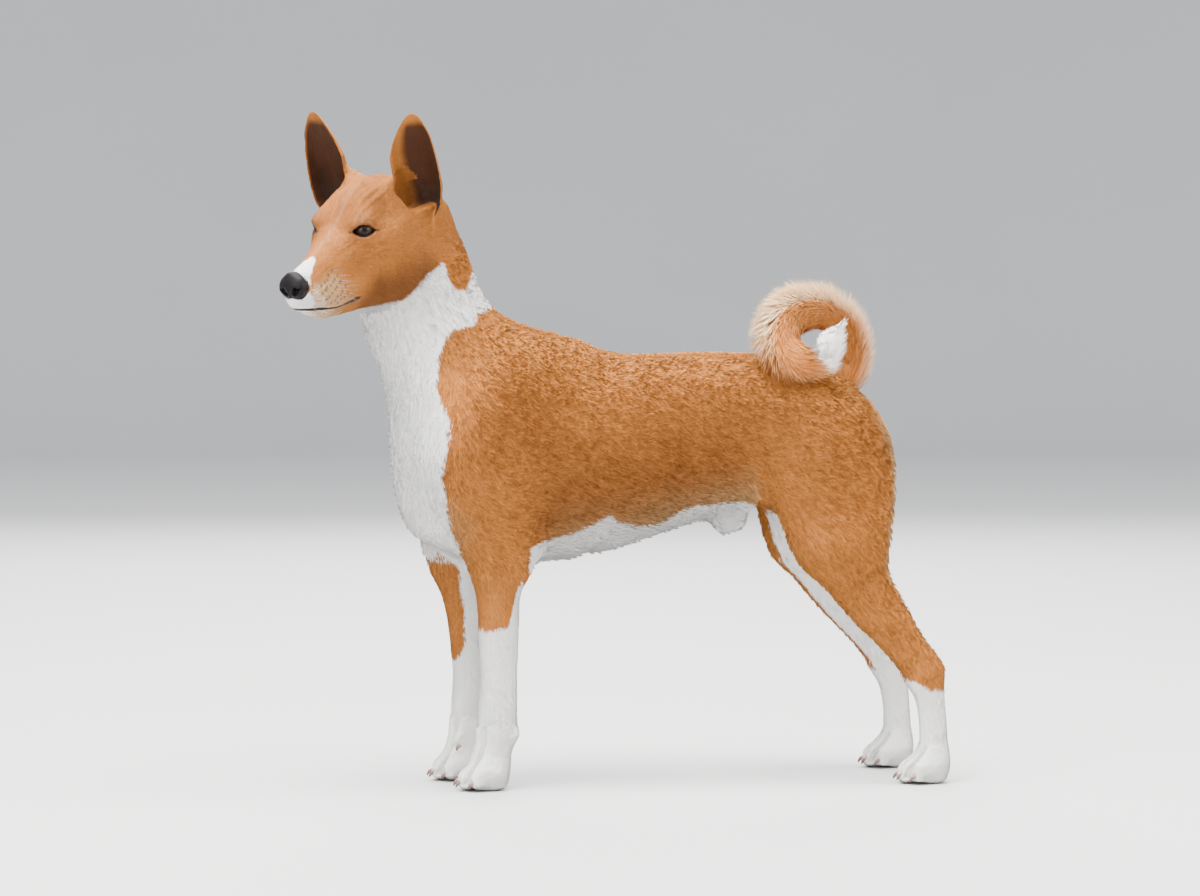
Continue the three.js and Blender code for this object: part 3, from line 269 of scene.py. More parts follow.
def place(mesh, points):
    """Writes an array of rows back as the vertices."""
    mesh.vertices.foreach_set("co", points.ravel())
    mesh.update()


def tag_region(mesh, region):
    """Stores the number of a region on all faces."""
    number = REGION_NAMES.index(region) if region in REGIONS else 0
    attribute(mesh, "region", "INT", [number] * len(mesh.polygons), "FACE")


DOUBLES = 0.00001  # vertices nearer to each other than this, in m, are one


def merged_copy(name, solids):
    """One object from copies of CAD nodes, their loose triangles merged, each face
    carrying the number of its region."""
    copies = []
    for solid in solids:
        copy = copied(NODES[solid])
        copy.parent = None
        copy.data.materials.clear()
        tag_region(copy.data, region_of(solid))
        copies.append(copy)
    made = joined(*copies)
    made.name = name
    edited(made, bpy.ops.mesh.remove_doubles, threshold=DOUBLES)
    return made


class Neighbours:
    """Averages a value on each vertex with its neighbours along the edges, given as the
    numbers of the vertices at both ends."""

    def __init__(self, a, b, count):
        self.a, self.b, self.count = a, b, count
        edges = np.bincount(a, minlength=count) + np.bincount(b, minlength=count)
        self.degree = np.maximum(edges, 1)

    @classmethod
    def of(cls, mesh):
        """The neighbours of a mesh."""
        return cls(*read(mesh.edges, "vertices", 2, np.int64).T, len(mesh.vertices))

    def part(self, here):
        """The neighbours among some of the vertices."""
        number = np.full(self.count, -1)
        number[here] = np.arange(len(here))
        inside = (number[self.a] >= 0) & (number[self.b] >= 0)
        return Neighbours(number[self.a[inside]], number[self.b[inside]], len(here))

    def mean(self, values):
        """Each vertex's mean of its neighbours."""
        rows = values.reshape(self.count, -1)
        out = np.empty_like(rows, dtype=float)
        for k in range(rows.shape[1]):
            column = rows[:, k]
            total = np.bincount(self.a, weights=column[self.b], minlength=self.count)
            total += np.bincount(self.b, weights=column[self.a], minlength=self.count)
            out[:, k] = total / self.degree
        return out.reshape(values.shape)

    def smooth(self, values, times, share=0.7, weight=None):
        """The values, brought nearer to those means this many times."""
        for _ in range(times):
            change = (self.mean(values) - values) * share
            if weight is not None:
                change *= weight[:, None]
            values = values + change
        return values


def unit(rows):
    """Rows scaled to length one."""
    return rows / np.maximum(np.linalg.norm(rows, axis=1, keepdims=True), 1e-12)


def dot(a, b):
    """The dot product of each pair of rows."""
    return np.einsum("ij,ij->i", a, b)


def carried(matrix, points):
    """Points taken through a matrix."""
    table = np.array(matrix)
    return points @ table[:3, :3].T + table[:3, 3]


def local(matrix, points):
    """World points, in metres, in a frame of its own."""
    return carried(matrix.inverted(), points)


def ramp(value, start, end):
    """0 before start, 1 after end, smooth between them."""
    t = np.clip((value - start) / (end - start), 0, 1)
    return t * t * (3 - 2 * t)


def hill(*gaps):
    """1 where all the gaps are 0, falling off smoothly, to 0.37 at a gap of 1."""
    return np.exp(-sum(gap**2 for gap in gaps))


def columns(table, value):
    """The further columns of a table at each value of its first one."""
    rows = np.array(table, dtype=float)
    return [np.interp(value, rows[:, 0], rows[:, k]) for k in range(1, rows.shape[1])]


def follow(line, value):
    """The height of a line, given as points of (place, height), at each value."""
    return columns(line, value)[0]


def surface_tree(item):
    """A tree for finding points on an object's surface."""
    return BVHTree.FromObject(item, bpy.context.evaluated_depsgraph_get())


def ray(tree, origin, direction):
    """Where a ray first meets the surface, and the normal there, or None."""
    hit, normal, _, _ = tree.ray_cast(Vector(origin), Vector(direction).normalized())
    return (hit, normal) if hit else None


NOISE_WAVES = 9


def noise(points, size, seed):
    """Smooth noise of about that size in metres, from -1 to 1, as a sum of waves."""
    rng = np.random.default_rng(seed)
    total = np.zeros(len(points))
    for _ in range(NOISE_WAVES):
        way = unit(rng.normal(size=(1, 3)))[0] * rng.uniform(0.6, 1.6)
        total += np.sin(points @ way * (2 * math.pi / size) + rng.uniform(0, 7))
    return total / (NOISE_WAVES / 2)


def loft(rings, closed_along=False):
    """Faces between rings of equally many points, each ring closed. Open ends get caps."""
    across = len(rings[0])
    points = [p for ring in rings for p in ring]
    faces = []
    for i in range(len(rings) if closed_along else len(rings) - 1):
        a, b = i * across, (i + 1) % len(rings) * across
        for j in range(across):
            k = (j + 1) % across
            faces.append((a + j, a + k, b + k, b + j))
    if not closed_along:
        faces.append(tuple(reversed(range(across))))
        faces.append(tuple(range(len(points) - across, len(points))))
    return points, faces


# ---------------------------------------------------------------- shader groups


def node(tree, kind, **values):
    """A shader node with its properties and input values set."""
    made = tree.nodes.new(kind)
    for key, value in values.items():
        if key in made.inputs:
            made.inputs[key].default_value = value
        else:
            setattr(made, key, value)
    return made


def on_object(tree, kind, **values):
    """A node like that, reading Object coordinates."""
    made = node(tree, kind, **values)
    place_on = tree.nodes.new("ShaderNodeTexCoord")
    tree.links.new(place_on.outputs["Object"], made.inputs["Vector"])
    return made


def stored(tree, name, output="Fac"):
    """An attribute of the mesh."""
    return node(tree, "ShaderNodeAttribute", attribute_name=name).outputs[output]


def group(name, inputs, outputs):
    """A shader node group with these sockets, and its input and output nodes."""
    tree = bpy.data.node_groups.new(name, "ShaderNodeTree")
    for label, kind, value in inputs:
        made = tree.interface.new_socket(label, in_out="INPUT", socket_type=kind)
        made.default_value = value
    for label, kind in outputs:
        tree.interface.new_socket(label, in_out="OUTPUT", socket_type=kind)
    return tree, tree.nodes.new("NodeGroupInput").outputs, tree.nodes.new("NodeGroupOutput").inputs


def feed(tree, socket, value):
    """Gives a socket a value, or a link from another socket."""
    if isinstance(value, (int, float, tuple)):
        socket.default_value = value
    else:
        tree.links.new(value, socket)


def maths(tree, operation, a, b, clamp=False):
    """A math node on two values or sockets, giving its output."""
    made = node(tree, "ShaderNodeMath", operation=operation, use_clamp=clamp)
    feed(tree, made.inputs[0], a)
    feed(tree, made.inputs[1], b)
    return made.outputs[0]


def scaled(tree, value, factor, more):
    """A value multiplied by a factor, and more added."""
    return maths(tree, "ADD", maths(tree, "MULTIPLY", value, factor), more)


def mixed(tree, share, a, b, blend="MIX"):
    """A colour mix of two sockets or colours, giving its output."""
    made = node(tree, "ShaderNodeMix", data_type="RGBA", blend_type=blend)
    for number, value in ((0, share), (6, a), (7, b)):
        feed(tree, made.inputs[number], value)
    return made.outputs[2]


def dimmed(tree, colour, value):
    """A colour multiplied by a value."""
    grey = tree.nodes.new("ShaderNodeCombineColor")
    for socket in grey.inputs:
        tree.links.new(value, socket)
    return mixed(tree, 1.0, colour, grey.outputs[0], "MULTIPLY")


def coat_colour_group():
    """The coat's colour from the markings that skin and tufts carry: red, white, cream and
    dark parts, the dark partly painted shade, painted shade towards the root of each tuft,
    and each tuft its own tone."""
    inputs = [
        ("Deep red", "NodeSocketColor", (0.2, 0.06, 0.018, 1)),
        ("Light red", "NodeSocketColor", (0.5, 0.2, 0.07, 1)),
        ("White", "NodeSocketColor", (0.8, 0.77, 0.72, 1)),
        ("Cream", "NodeSocketColor", (0.75, 0.5, 0.28, 1)),
        ("Bare", "NodeSocketColor", (0.2, 0.09, 0.06, 1)),
        ("Dark", "NodeSocketColor", (0.02, 0.013, 0.01, 1)),
        ("Tuft contrast", "NodeSocketFloat", 0.6),
        ("Root shade", "NodeSocketFloat", 0.55),
    ]
    outputs = [("Colour", "NodeSocketColor"), ("Tone", "NodeSocketFloat")]
    tree, given, out = group("coat colour", inputs, outputs)
    parts = tree.nodes.new("ShaderNodeSeparateColor")
    tree.links.new(stored(tree, "marks", "Color"), parts.inputs[0])
    white, cream, dark = parts.outputs
    patches = on_object(tree, "ShaderNodeTexNoise", Scale=14.0, Detail=3.0)
    tuft = maths(tree, "SUBTRACT", stored(tree, "marks", "Alpha"), 0.5)
    tone = maths(tree, "MULTIPLY", tuft, given["Tuft contrast"])
    broad = maths(tree, "MULTIPLY", maths(tree, "SUBTRACT", patches.outputs[0], 0.5), 0.9)
    tone = maths(tree, "ADD", maths(tree, "ADD", tone, broad), 0.5, clamp=True)
    red = mixed(tree, tone, given["Deep red"], given["Light red"])
    colour = mixed(tree, cream, red, given["Cream"])
    colour = mixed(tree, stored(tree, "bare"), colour, given["Bare"])
    colour = mixed(tree, white, colour, given["White"])
    # painted shade: darker towards each tuft's root and on the skin between the tufts, less on white
    to_root = maths(tree, "SUBTRACT", 1.0, stored(tree, "along"))
    root_painted_shade = maths(tree, "MULTIPLY", to_root, given["Root shade"])
    softer = maths(tree, "SUBTRACT", 1.0, maths(tree, "MULTIPLY", white, 0.65))
    keep = maths(tree, "SUBTRACT", 1.0, maths(tree, "MULTIPLY", root_painted_shade, softer))
    colour = dimmed(tree, colour, keep)
    colour = mixed(tree, white, colour, dimmed(tree, colour, scaled(tree, tone, 0.12, 0.89)))
    tree.links.new(mixed(tree, dark, colour, given["Dark"]), out["Colour"])
    tree.links.new(tone, out["Tone"])
    return tree


def grain_group():
    """Fine streaks or pores as a height: noise stretched along one axis, and a second,
    finer one over it."""
    inputs = [
        ("Stretch", "NodeSocketVector", (1, 1, 1)),
        ("Scale", "NodeSocketFloat", 400.0),
        ("Fine", "NodeSocketFloat", 0.4),
    ]
    tree, given, out = group("grain", inputs, [("Height", "NodeSocketFloat")])
    turn = on_object(tree, "ShaderNodeMapping")
    tree.links.new(given["Stretch"], turn.inputs["Scale"])
    coarse = node(tree, "ShaderNodeTexNoise", Detail=2.0)
    fine = node(tree, "ShaderNodeTexNoise", Detail=4.0)
    for texture in (coarse, fine):
        tree.links.new(turn.outputs[0], texture.inputs["Vector"])
    tree.links.new(given["Scale"], coarse.inputs["Scale"])
    tree.links.new(maths(tree, "MULTIPLY", given["Scale"], 3.1), fine.inputs["Scale"])
    part = maths(tree, "MULTIPLY", fine.outputs[0], given["Fine"])
    tree.links.new(maths(tree, "ADD", coarse.outputs[0], part), out["Height"])
    return tree


MAKERS = {"coat colour": coat_colour_group, "grain": grain_group}
GROUPS = {}


def shared(tree, name, **values):
    """A shader group, built once, in a material, with that material's values."""
    if name not in GROUPS:
        GROUPS[name] = MAKERS[name]()
    made = node(tree, "ShaderNodeGroup", node_tree=GROUPS[name])
    for label, value in values.items():
        made.inputs[label.replace("_", " ")].default_value = value
    return made


def material(name, **sockets):
    """A material with a Principled BSDF whose plain numbers are set on its own sockets."""
    made = bpy.data.materials.new(name)
    made.use_nodes = True
    shader = made.node_tree.nodes["Principled BSDF"].inputs
    for label, value in sockets.items():
        shader[label.replace("_", " ")].default_value = value
    return made, made.node_tree, shader


def colour_between(tree, shader, share, first, second):
    """Lets a material's colour run from the first to the second."""
    colour = mixed(tree, share, (*first, 1), (*second, 1))
    tree.links.new(colour, shader["Base Color"])


def bumped(tree, shader, height, strength, depth, invert=False):
    """Gives a material a height as bump."""
    bump = node(tree, "ShaderNodeBump", Strength=strength, Distance=depth, invert=invert)
    tree.links.new(height, bump.inputs["Height"])
    tree.links.new(bump.outputs[0], shader["Normal"])


def grain_bump(tree, shader, strength, depth, **values):
    """Gives a material the shared grain as bump, and returns the height."""
    height = shared(tree, "grain", **values).outputs[0]
    bumped(tree, shader, height, strength, depth)
    return height


COAT_COLOURS = ["deep_red", "light_red", "white", "cream", "bare", "dark"]
COAT_SHEEN = (1, 0.72, 0.45, 1)


def coat_material(name, contrast, root_shade, grain=0, upright=False):
    """Short glossy hair in the coat's colours, for skin, with grain, and for tufts, which
    may say how upright their corners are shaded."""
    made, tree, shader = material(
        name, Roughness=0.7, Specular_IOR_Level=0.15,
        Sheen_Weight=0.05, Sheen_Roughness=0.4, Sheen_Tint=COAT_SHEEN,
    )
    look = bpy.context.scene.dog_coat
    values = {label.capitalize(): (*getattr(look, label), 1) for label in COAT_COLOURS}
    colour = shared(tree, "coat colour", Tuft_contrast=contrast, Root_shade=root_shade, **values)
    tree.links.new(colour.outputs["Colour"], shader["Base Color"])
    tree.links.new(scaled(tree, colour.outputs["Tone"], -0.12, 0.76), shader["Roughness"])
    if grain:
        grain_bump(tree, shader, grain, 0.0004, Scale=500.0)
    if upright:
        tree.links.new(stored(tree, "upright", "Vector"), shader["Normal"])
    return made


# ---------------------------------------------------------------- markings


# Lines on the near side, in mm: white lies in front of, or below, each of them.
COLLAR = [  # front edge of the shoulder patch: (height, place along the body)
    (187, -132), (196, -135), (214, -139), (221, -142), (242, -152), (266, -159), (291, -164),
    (309, -163.5), (328, -159), (341, -155), (356, -162), (374, -167), (403, -165), (418, -158),
    (428, -149), (432, -131), (441, -126), (447, -111), (455, -97),
]
NAPE = [  # lower edge of the red on the left of the neck: (place along the body, height)
    (-240, 441), (-217, 449), (-195, 454.5), (-181, 468), (-172, 480), (-164, 487), (-158, 488),
    (-152, 471), (-145, 464), (-137, 463.5), (-131, 474), (-126, 490),
]
BELLY = [  # (place along the body, height)
    (-82, 227), (-46, 236), (-19, 247), (-7, 254), (2, 248), (25, 244), (44, 245), (67, 258),
    (110, 264), (200, 262),
]
FAR_FORELEG = [  # rear edge of the red on the far foreleg: (height, place along the body)
    (100, -143), (110, -138), (120, -132), (133, -129), (160, -128), (188, -132), (204, -135),
    (215, -142), (224, -151), (236, -164),
]
HOCK = [(262, 112), (275, 99), (295, 89), (315, 85)]  # upper edge of the white on the hind legs
BREAST = 24  # half width of the white between the forelegs, mm
CHEEK = [  # lower edge of the red on the head, in its own frame: (x, z)
    (-110, -92), (-66, -86), (-52, -66), (-41, -65), (-28, -70), (-15, -79), (5, -80),
    (20, -76), (40, -70), (60, -52), (90, -48),
]
MUZZLE = [  # front edge of the red on the muzzle, in the head's own frame: (z, x)
    (-60, 62), (-45, 75), (-35, 83), (-27, 86), (-11, 85), (-3, 77), (0, 65), (3, 45), (8, 36),
    (14, 30),
]
WHISKER_ROWS = [  # rows on the upper lip in the head's frame: height, first x, last x, hairs
    (-14, 72, 52, 5),
    (-20, 76, 48, 7),
    (-27, 74, 46, 7),
    (-34, 68, 46, 6),
    (-40, 60, 46, 4),
]


def whisker_places():
    """Where the whiskers grow on the upper lip: (x, z) in the head's frame."""
    rng = np.random.default_rng(SEED + 5)
    places = []
    for height, first, last, hairs in WHISKER_ROWS:
        for k in range(hairs):
            x = first + (last - first) * k / (hairs - 1) + rng.uniform(-1, 1)
            places.append((x, height + (72 - x) * 0.12 + rng.uniform(-1, 1)))
    return places


def of_region(region, *names):
    """Which points lie in any of these regions."""
    return np.isin(region, [REGION_NAMES.index(name) for name in names])


def ear_inside(points, normal, region):
    """For points of the ears: how bare each is, and how much painted shade lies deep in the
    cup and along its folds, from 0 to 1, both only inside the cup."""
    in_head = local(HEAD, points)
    facing = normal @ np.array(HEAD_TURN)[:3, :3]
    side = np.where(in_head[:, 1] > 0, 1.0, -1.0)
    in_head[:, 1] *= side
    facing[:, 1] *= side
    place_in = in_head - np.array(EAR_AT)
    up, out, face = (place_in @ np.array(way) for way in (EAR_UP, EAR_OUT, EAR_FACE))
    inner, outer, depth = columns(EAR, up)
    to_axis = np.stack([(inner + outer) / 2 - out, -0.3 * depth - face], axis=1)
    faced = np.stack([facing @ np.array(EAR_OUT), facing @ np.array(EAR_FACE)], axis=1)
    near = (out > inner - 2) & (out < outer + 2) & (face < 6) & (face > -depth - 3)
    cup = ramp(dot(unit(to_axis), faced), 0.0, 0.35) * near * (up < 80)
    root = of_region(region, "head") & (up > -38) & (up < 14) & (face < 4)
    cup *= of_region(region, "ear") | root
    share = (out - inner) / np.maximum(outer - inner, 1)
    bare = cup * ramp(-face, 0.5, 3.5) * ramp(share, 0.04, 0.3) * ramp(up, 76, 66)
    folds = hill((outer - out - 5.5) / 1.6) * ramp(up, 34, 16)
    folds += hill((outer - out - 12 - up * 0.12) / 1.8) * ramp(up, 12, 0) * 0.8
    # painted shade: darker deeper in the cup and in the folds at its root
    dark = cup * (0.55 * ramp(up, 22, -22) * ramp(-face, 3, 10) + 0.5 * folds * ramp(-face, 0, 3))
    return bare, np.clip(dark, 0, 0.85)


BORDER = 1.2  # half the width, in mm, over which white turns to red


def white_of(points, normal, region, edge):
    """The share of white at each point, its borders shifted by edge, in mm."""
    x, y, z = (points / MM).T
    hx, hy, hz = local(HEAD, points).T

    def below(gap):
        return ramp(gap + edge, -BORDER, BORDER)

    side = np.where(y < BODY_AT.y, -1.0, 1.0)
    inner = -side * normal[:, 1]
    collar = below(follow(COLLAR, z) - x)
    cheek = below(follow(CHEEK, hx) - 11 * ramp(-hy, 5, 25) - hz)
    far = ramp(normal[:, 1], 0.2, 0.7)
    throat = ramp(normal[:, 1], -0.1, 0.3) * ramp(x, -200, -212)
    nape = below(follow(NAPE, x) - z + far * 12 * ramp(x, -205, -190) + throat * 36)
    breast = below(BREAST - np.abs(y - BODY_AT.y)) * below(232 - z)
    rear_end = np.where(np.abs(normal[:, 1]) > 0.5, 158, 182)
    belly = np.where(x < -82, breast, below(follow(BELLY, x) - z) * (x < rear_end))

    front = below(hx - follow(MUZZLE, hz))
    line = hill((hy + 0.8) / 2.6) * ramp(hx, -60, -25) * ramp(hz, 0, 4) * 0.04
    head = np.maximum.reduce([cheek * (hx < 26), front, line, below(-57 - hz) * (hx > 48)])

    rear_edge = ramp(x, -103, -90)
    outer_left = below(150 + rear_edge * 42 - z)
    outer_right = np.maximum(below(116 - z), below(x - follow(FAR_FORELEG, z)) * (inner > -0.2))
    medial = below((inner - 0.3) * 12) * below((normal[:, 0] + 0.5) * 12)
    foreleg = np.where(side < 0, np.maximum(outer_left, medial), outer_right)

    hock = below(follow(HOCK, x) - z)
    groin = below((inner - 0.15 + np.minimum(normal[:, 0] + 0.35, 0)) * 14) * below((250 - z) * 0.4)
    hind = np.maximum(hock, groin)

    white = np.zeros(len(points))
    for names, rule in (
        (("trunk",), np.maximum(collar * nape, belly)),
        (("neck",), collar * nape),
        (("head", "muzzle"), head),
        (("foreleg",), foreleg),
        (("paw",), np.ones(len(points))),
        (("thigh", "gaskin", "hock"), hind),
    ):
        here = of_region(region, *names)
        white[here] = rule[here]
    elbow = of_region(region, "trunk") & (side > 0) & (z + 3 * edge < 212)
    elbow &= (x < -70) & (y > BODY_AT.y + 22)
    white[elbow] = outer_right[elbow]
    return np.clip(white, 0, 1)


def eye_marks(points):
    """How dark the rims of the lids are at each point, and how much painted shade, with some
    darker hair, lies in the sockets, both from 0 to 1, one pair for each eye."""
    for sign in SIDES:
        p = local(eye_matrix(sign), points)
        upper, lower = (almond_height(p[:, 0], above, sign) for above in (True, False))
        over = np.where(p[:, 1] > 0, upper, -lower)
        gap = np.abs(p[:, 1]) - np.maximum(over, 0)
        rim = ramp(gap, 1.8, 0.6) * ramp(np.abs(p[:, 0] / (EYE_SLIT / 2)), 1.45, 1.15)
        socket = hill((p[:, 0] + sign * 5) / 10, (p[:, 1] - 3) / 7)
        facing = (p[:, 2] > 0) & (p[:, 2] < EYE_REACH)
        yield rim * facing, socket * facing


def markings(points, normal, region, spread):
    """The coat at each point: shares of white, cream, dark and bare skin from 0 to 1, the dark
    partly painted shade, and a tone that is above 0 where the red is lighter, partly painted
    light and shade. Spread, from -1 to 1 for each point, lets hairs of one colour stray over
    the border."""
    x, y, z = (points / MM).T
    hx, hy, hz = local(HEAD, points).T
    edge = noise(points, 0.022, 3) * 1.5 + noise(points, 0.006, 4) * 0.9 + spread * 1.6
    white = white_of(points, normal, region, edge)
    head, trunk, paw, foreleg = (
        of_region(region, *names) for names in (("head", "muzzle"), ("trunk",), ("paw",), ("foreleg",))
    )

    rear = ramp(normal[:, 0], 0.55, 1.0) * ramp(x, 205, 250) * ramp(z, 150, 240)
    under = ramp(-normal[:, 2], 0.2, 0.9) * trunk
    brow = hill((hx + 2) / 9, (np.abs(hy) - 25) / 8, (hz - 12) / 5) * head
    pad = ramp(hx, 36, 66) * ramp(-hz, 6, 18) * head
    cream = np.maximum.reduce([rear * 0.42, under * 0.3, brow * 0.06, pad * 0.3])
    mottled = ramp(hx, 66, 82) * ramp(hz, -6, -16) * 0.3
    mottled += ramp(-hz, 34, 40) * ramp(hx, 58, 72) * 0.2
    white = np.where((spread > 1 - 2 * mottled) & head, np.maximum(white, 0.8), white)

    bare, ear_painted_shade = ear_inside(points, normal, region)
    scrotum = hill((x - 133) / 9, (z - 250) / 9) * trunk
    bare = np.maximum(bare, scrotum * ramp(normal[:, 0], -0.2, 0.4))

    sole = ramp(-normal[:, 2], 0.6, 0.95) * ramp(z, 3.5, 1.5) * paw
    # painted shade in the grooves between the toes; sole and heel are the dark pads
    grooves = np.zeros(len(points))
    grooves[paw] = toe_lines(points[paw], normal[paw])[0]
    across = (np.abs(y - BODY_AT.y) - 41) / 8
    heel = np.hypot(np.hypot((x + 85 + 12 * (y > BODY_AT.y)) / 6, (z - 46) / 5), across)
    heel = ramp(heel, 1.1, 0.7) * ramp(normal[:, 2], 0.1, -0.3) * (x < 0)
    # the lower rear cheek darker: partly a darker sable tone, partly painted shade
    cheek = ramp(hx, 34, 8) * ramp(hx, -66, -40) * head
    # painted shade: the lower flank and belly darker, as under a light from above
    belly = ramp(z, 345, 240) * ramp(x, -98, -50) * ramp(x, 175, 95) * trunk
    dark = [sole, grooves * 0.3, heel, ear_painted_shade, 0.12 * (foreleg | head & (hz > -4))]
    dark += [0.34 * belly, 0.48 * ramp(-hz, 28, 62) * cheek]
    tone = np.zeros(len(points))
    for rim, socket in eye_marks(points):
        # painted shade round the eye under the brow, with some darker hair, as dark and lower tone
        dark += [rim * head * 0.85, 0.3 * socket * head]
        tone -= 0.42 * socket * head
    for pit_x, pit_z in whisker_places():
        spot = np.hypot(hx - pit_x, hz - pit_z)
        dark.append(ramp(spot, 2.0, 1.0) * 0.62 * (head & (np.abs(hy) > 8)))
    dark = np.maximum.reduce(dark)

    # lower rear cheek darker: partly sable hair, partly painted shade
    tone -= 0.62 * ramp(-hz, 34, 66) * ramp(hx, 34, 12) * ramp(hx, -62, -38) * head
    tone -= (0.14 + 0.24 * ramp(hz, -8, 8)) * head
    # painted light: the top of the back, neck and thighs and the rear end lighter, as lit from above
    # and behind
    painted_top_light = ramp(z, 330, 400) * of_region(region, "trunk", "neck", "thigh")
    tone += 0.15 * painted_top_light + 0.2 * ramp(x, 120, 215)
    # painted shade on the lower flank and belly
    tone -= 0.35 * belly
    return white, np.clip(cream, 0, 1), np.clip(dark, 0, 1), np.clip(bare, 0, 1), tone


# ---------------------------------------------------------------- tail


def tail_row(angle):
    """The curl's row at any angle, between the given ones."""
    return [angle] + [float(number) for number in columns(TAIL_CURL, angle)]


def tail_point(row):
    """The middle of the tail at a row, in mm."""
    angle, radius, shift = math.radians(row[0]), row[1], row[2]
    return TAIL_HUB + Vector((
        TAIL_LEAN * shift + radius * math.cos(angle),
        shift,
        TAIL_DROP * shift + radius * math.sin(angle),
    ))


def tail_section(angle):
    """Middle, direction, outward side and left side of the tail at an angle."""
    middle = tail_point(tail_row(angle))
    along = (tail_point(tail_row(angle + 3)) - tail_point(tail_row(angle - 3))).normalized()
    left = Vector((0, 1, 0))
    left = (left - along * along.y).normalized()
    return middle, along, left.cross(along), left


CORE_STEP = 6.0  # degrees of the curl between two rings of the core
CORE_SIDES = 16


def tail_core():
    """The tail's flesh, a tube inside its long coat."""
    rings = []
    for angle in np.arange(TAIL_CURL[0][0], TAIL_CURL[-1][0] + 1, CORE_STEP):
        row = tail_row(angle)
        middle, _, out, left = tail_section(angle)
        outer, inner, wide = (float(share) for share in columns(TAIL_CORE, angle))
        ring = []
        for turn in range(CORE_SIDES):
            c, s = (way(turn * math.pi / (CORE_SIDES / 2)) for way in (math.cos, math.sin))
            depth = row[3] * (outer if c > 0 else inner)
            width = row[4] * wide
            ring.append((middle + out * (c * depth) + left * (s * width)) * MM)
        rings.append(ring)
    made = piece_from("tail_core", *loft(rings))
    outward(made)
    tag_region(made.data, "tail")
    return made


BATCH = 20000  # points whose gaps are worked out at a time


def tail_lie(points):
    """For each point, the tail's direction, its angle along the curl and its outer side."""
    angles = np.arange(TAIL_CURL[0][0], TAIL_CURL[-1][0], 2.0)
    sections = [tail_section(angle) for angle in angles]
    middles, along, out = (np.array([section[k] for section in sections]) for k in range(3))
    middles = middles * MM
    nearest = np.empty(len(points), dtype=int)
    for start in range(0, len(points), BATCH):
        gap = np.linalg.norm(points[start : start + BATCH, None] - middles[None], axis=2)
        nearest[start : start + BATCH] = gap.argmin(axis=1)
    return along[nearest], angles[nearest], out[nearest]


# ---------------------------------------------------------------- skin

VOXEL = 0.00125
SKIN_TRIANGLES = 188000
SMOOTH_TIMES = 60
GAP_CLOSED = 0.0004
ROUNDED = [  # where sharp solids are rounded more: place in mm, reach in mm, times
    ((118, 19.7, 242), 30, 90),
    ((226, 21, 366), 24, 160),
    ((306, -45, 108), 16, 60),
    ((306, 85, 108), 16, 60),
    ((-88, -22, 205), 34, 90),
    ((-95, 62, 205), 34, 90),
]
EAR_ROOT_REACH = 15  # the ears' roots run into the head over this much, mm


def body_lie(points, normal, region):
    """Which way the hair lies at each point, before it is smoothed."""
    x, _, z = (points / MM).T
    in_head = local(HEAD, points)
    side = np.sign(in_head[:, 1])
    down = ramp(-in_head[:, 2], -5, 45)
    lie = np.zeros_like(points)

    def put(name, rows):
        here = of_region(region, name)
        lie[here] = np.broadcast_to(rows, lie.shape)[here]

    def blend(first, second, share):
        return np.array(first) * (1 - share[:, None]) + np.array(second) * share[:, None]

    def of_head(*parts):
        turn = np.array(HEAD_TURN)[:3, :3]
        return np.stack(np.broadcast_arrays(*parts), axis=1) @ turn.T

    trunk = blend((1.0, 0, -0.32), (0.12, 0, -1.0), ramp(x, -120, -155))
    put("trunk", blend(trunk, (0.5, 0, -1.0), ramp(x, 225, 285)))
    put("neck", blend((0.25, 0, -1.0), (0.75, 0, -0.8), ramp(normal[:, 0], -0.2, 0.6)))
    put("head", of_head(-1.0, side * 0.15, 0.1 - 0.75 * down))
    put("muzzle", of_head(-1.0, side * 0.25, -0.35 * down))
    put("ear", of_head(-0.17, -0.08 * side, 0.98))
    put("foreleg", (0.12, 0, -1.0))
    put("thigh", blend((1.0, 0, -0.5), (0.6, 0, -1.0), ramp(z, 270, 190)))
    put("gaskin", (0.6, 0, -0.8))
    put("hock", (-0.1, 0, -1.0))
    put("paw", (-0.9, 0, -0.45))
    tail = of_region(region, "tail")
    lie[tail] = tail_lie(points[tail])[0]
    return lie


def tangent(lie, normal):
    """The lie laid flat on the skin."""
    return unit(lie - normal * dot(lie, normal)[:, None])


def nearest_regions(points, source):
    """The region of the solid nearest to each point."""
    tree = surface_tree(source)
    tags = read_attribute(source.data, "region", 1)
    found = [tree.find_nearest(p)[2] for p in points.tolist()]
    return tags[np.array(found)]


def region_values(region, column):
    """One number of the regions' table for each vertex."""
    return np.array([REGIONS[name][column] for name in REGION_NAMES])[region]


def eye_frame(sign):
    """The eye's centre and axes in the head's frame: look, across and up."""
    at = Vector((EYE_AT.x, EYE_AT.y * sign, EYE_AT.z))
    look = Vector((EYE_LOOK.x, EYE_LOOK.y * sign, EYE_LOOK.z))
    tilt = Vector((0, sign * 0.3, 1))
    across = tilt.cross(look).normalized()
    up = look.cross(across)
    return at, look, across, up


def eye_matrix(sign):
    """World matrix of an eye's own frame in mm: x across, y up, z the way it looks."""
    at, look, across, up = eye_frame(sign)
    turn = Matrix((across, up, look)).transposed().to_4x4()
    return HEAD @ Matrix.Translation(at) @ turn


def almond_height(x, upper, sign):
    """Height of a lid's edge over the line between the corners of the eye. The upper lid
    is highest towards the nose."""
    t = np.clip(x / (EYE_SLIT / 2), -1, 1)
    if upper:
        return (1 - t * t) * EYE_OPEN * 0.52 * (1 - 0.25 * t * sign)
    return -(1 - t * t) * EYE_OPEN * 0.4 * (1 + 0.12 * t * sign)


EYE_REACH = 30  # how far in front of an eye's middle the face lies at most, mm


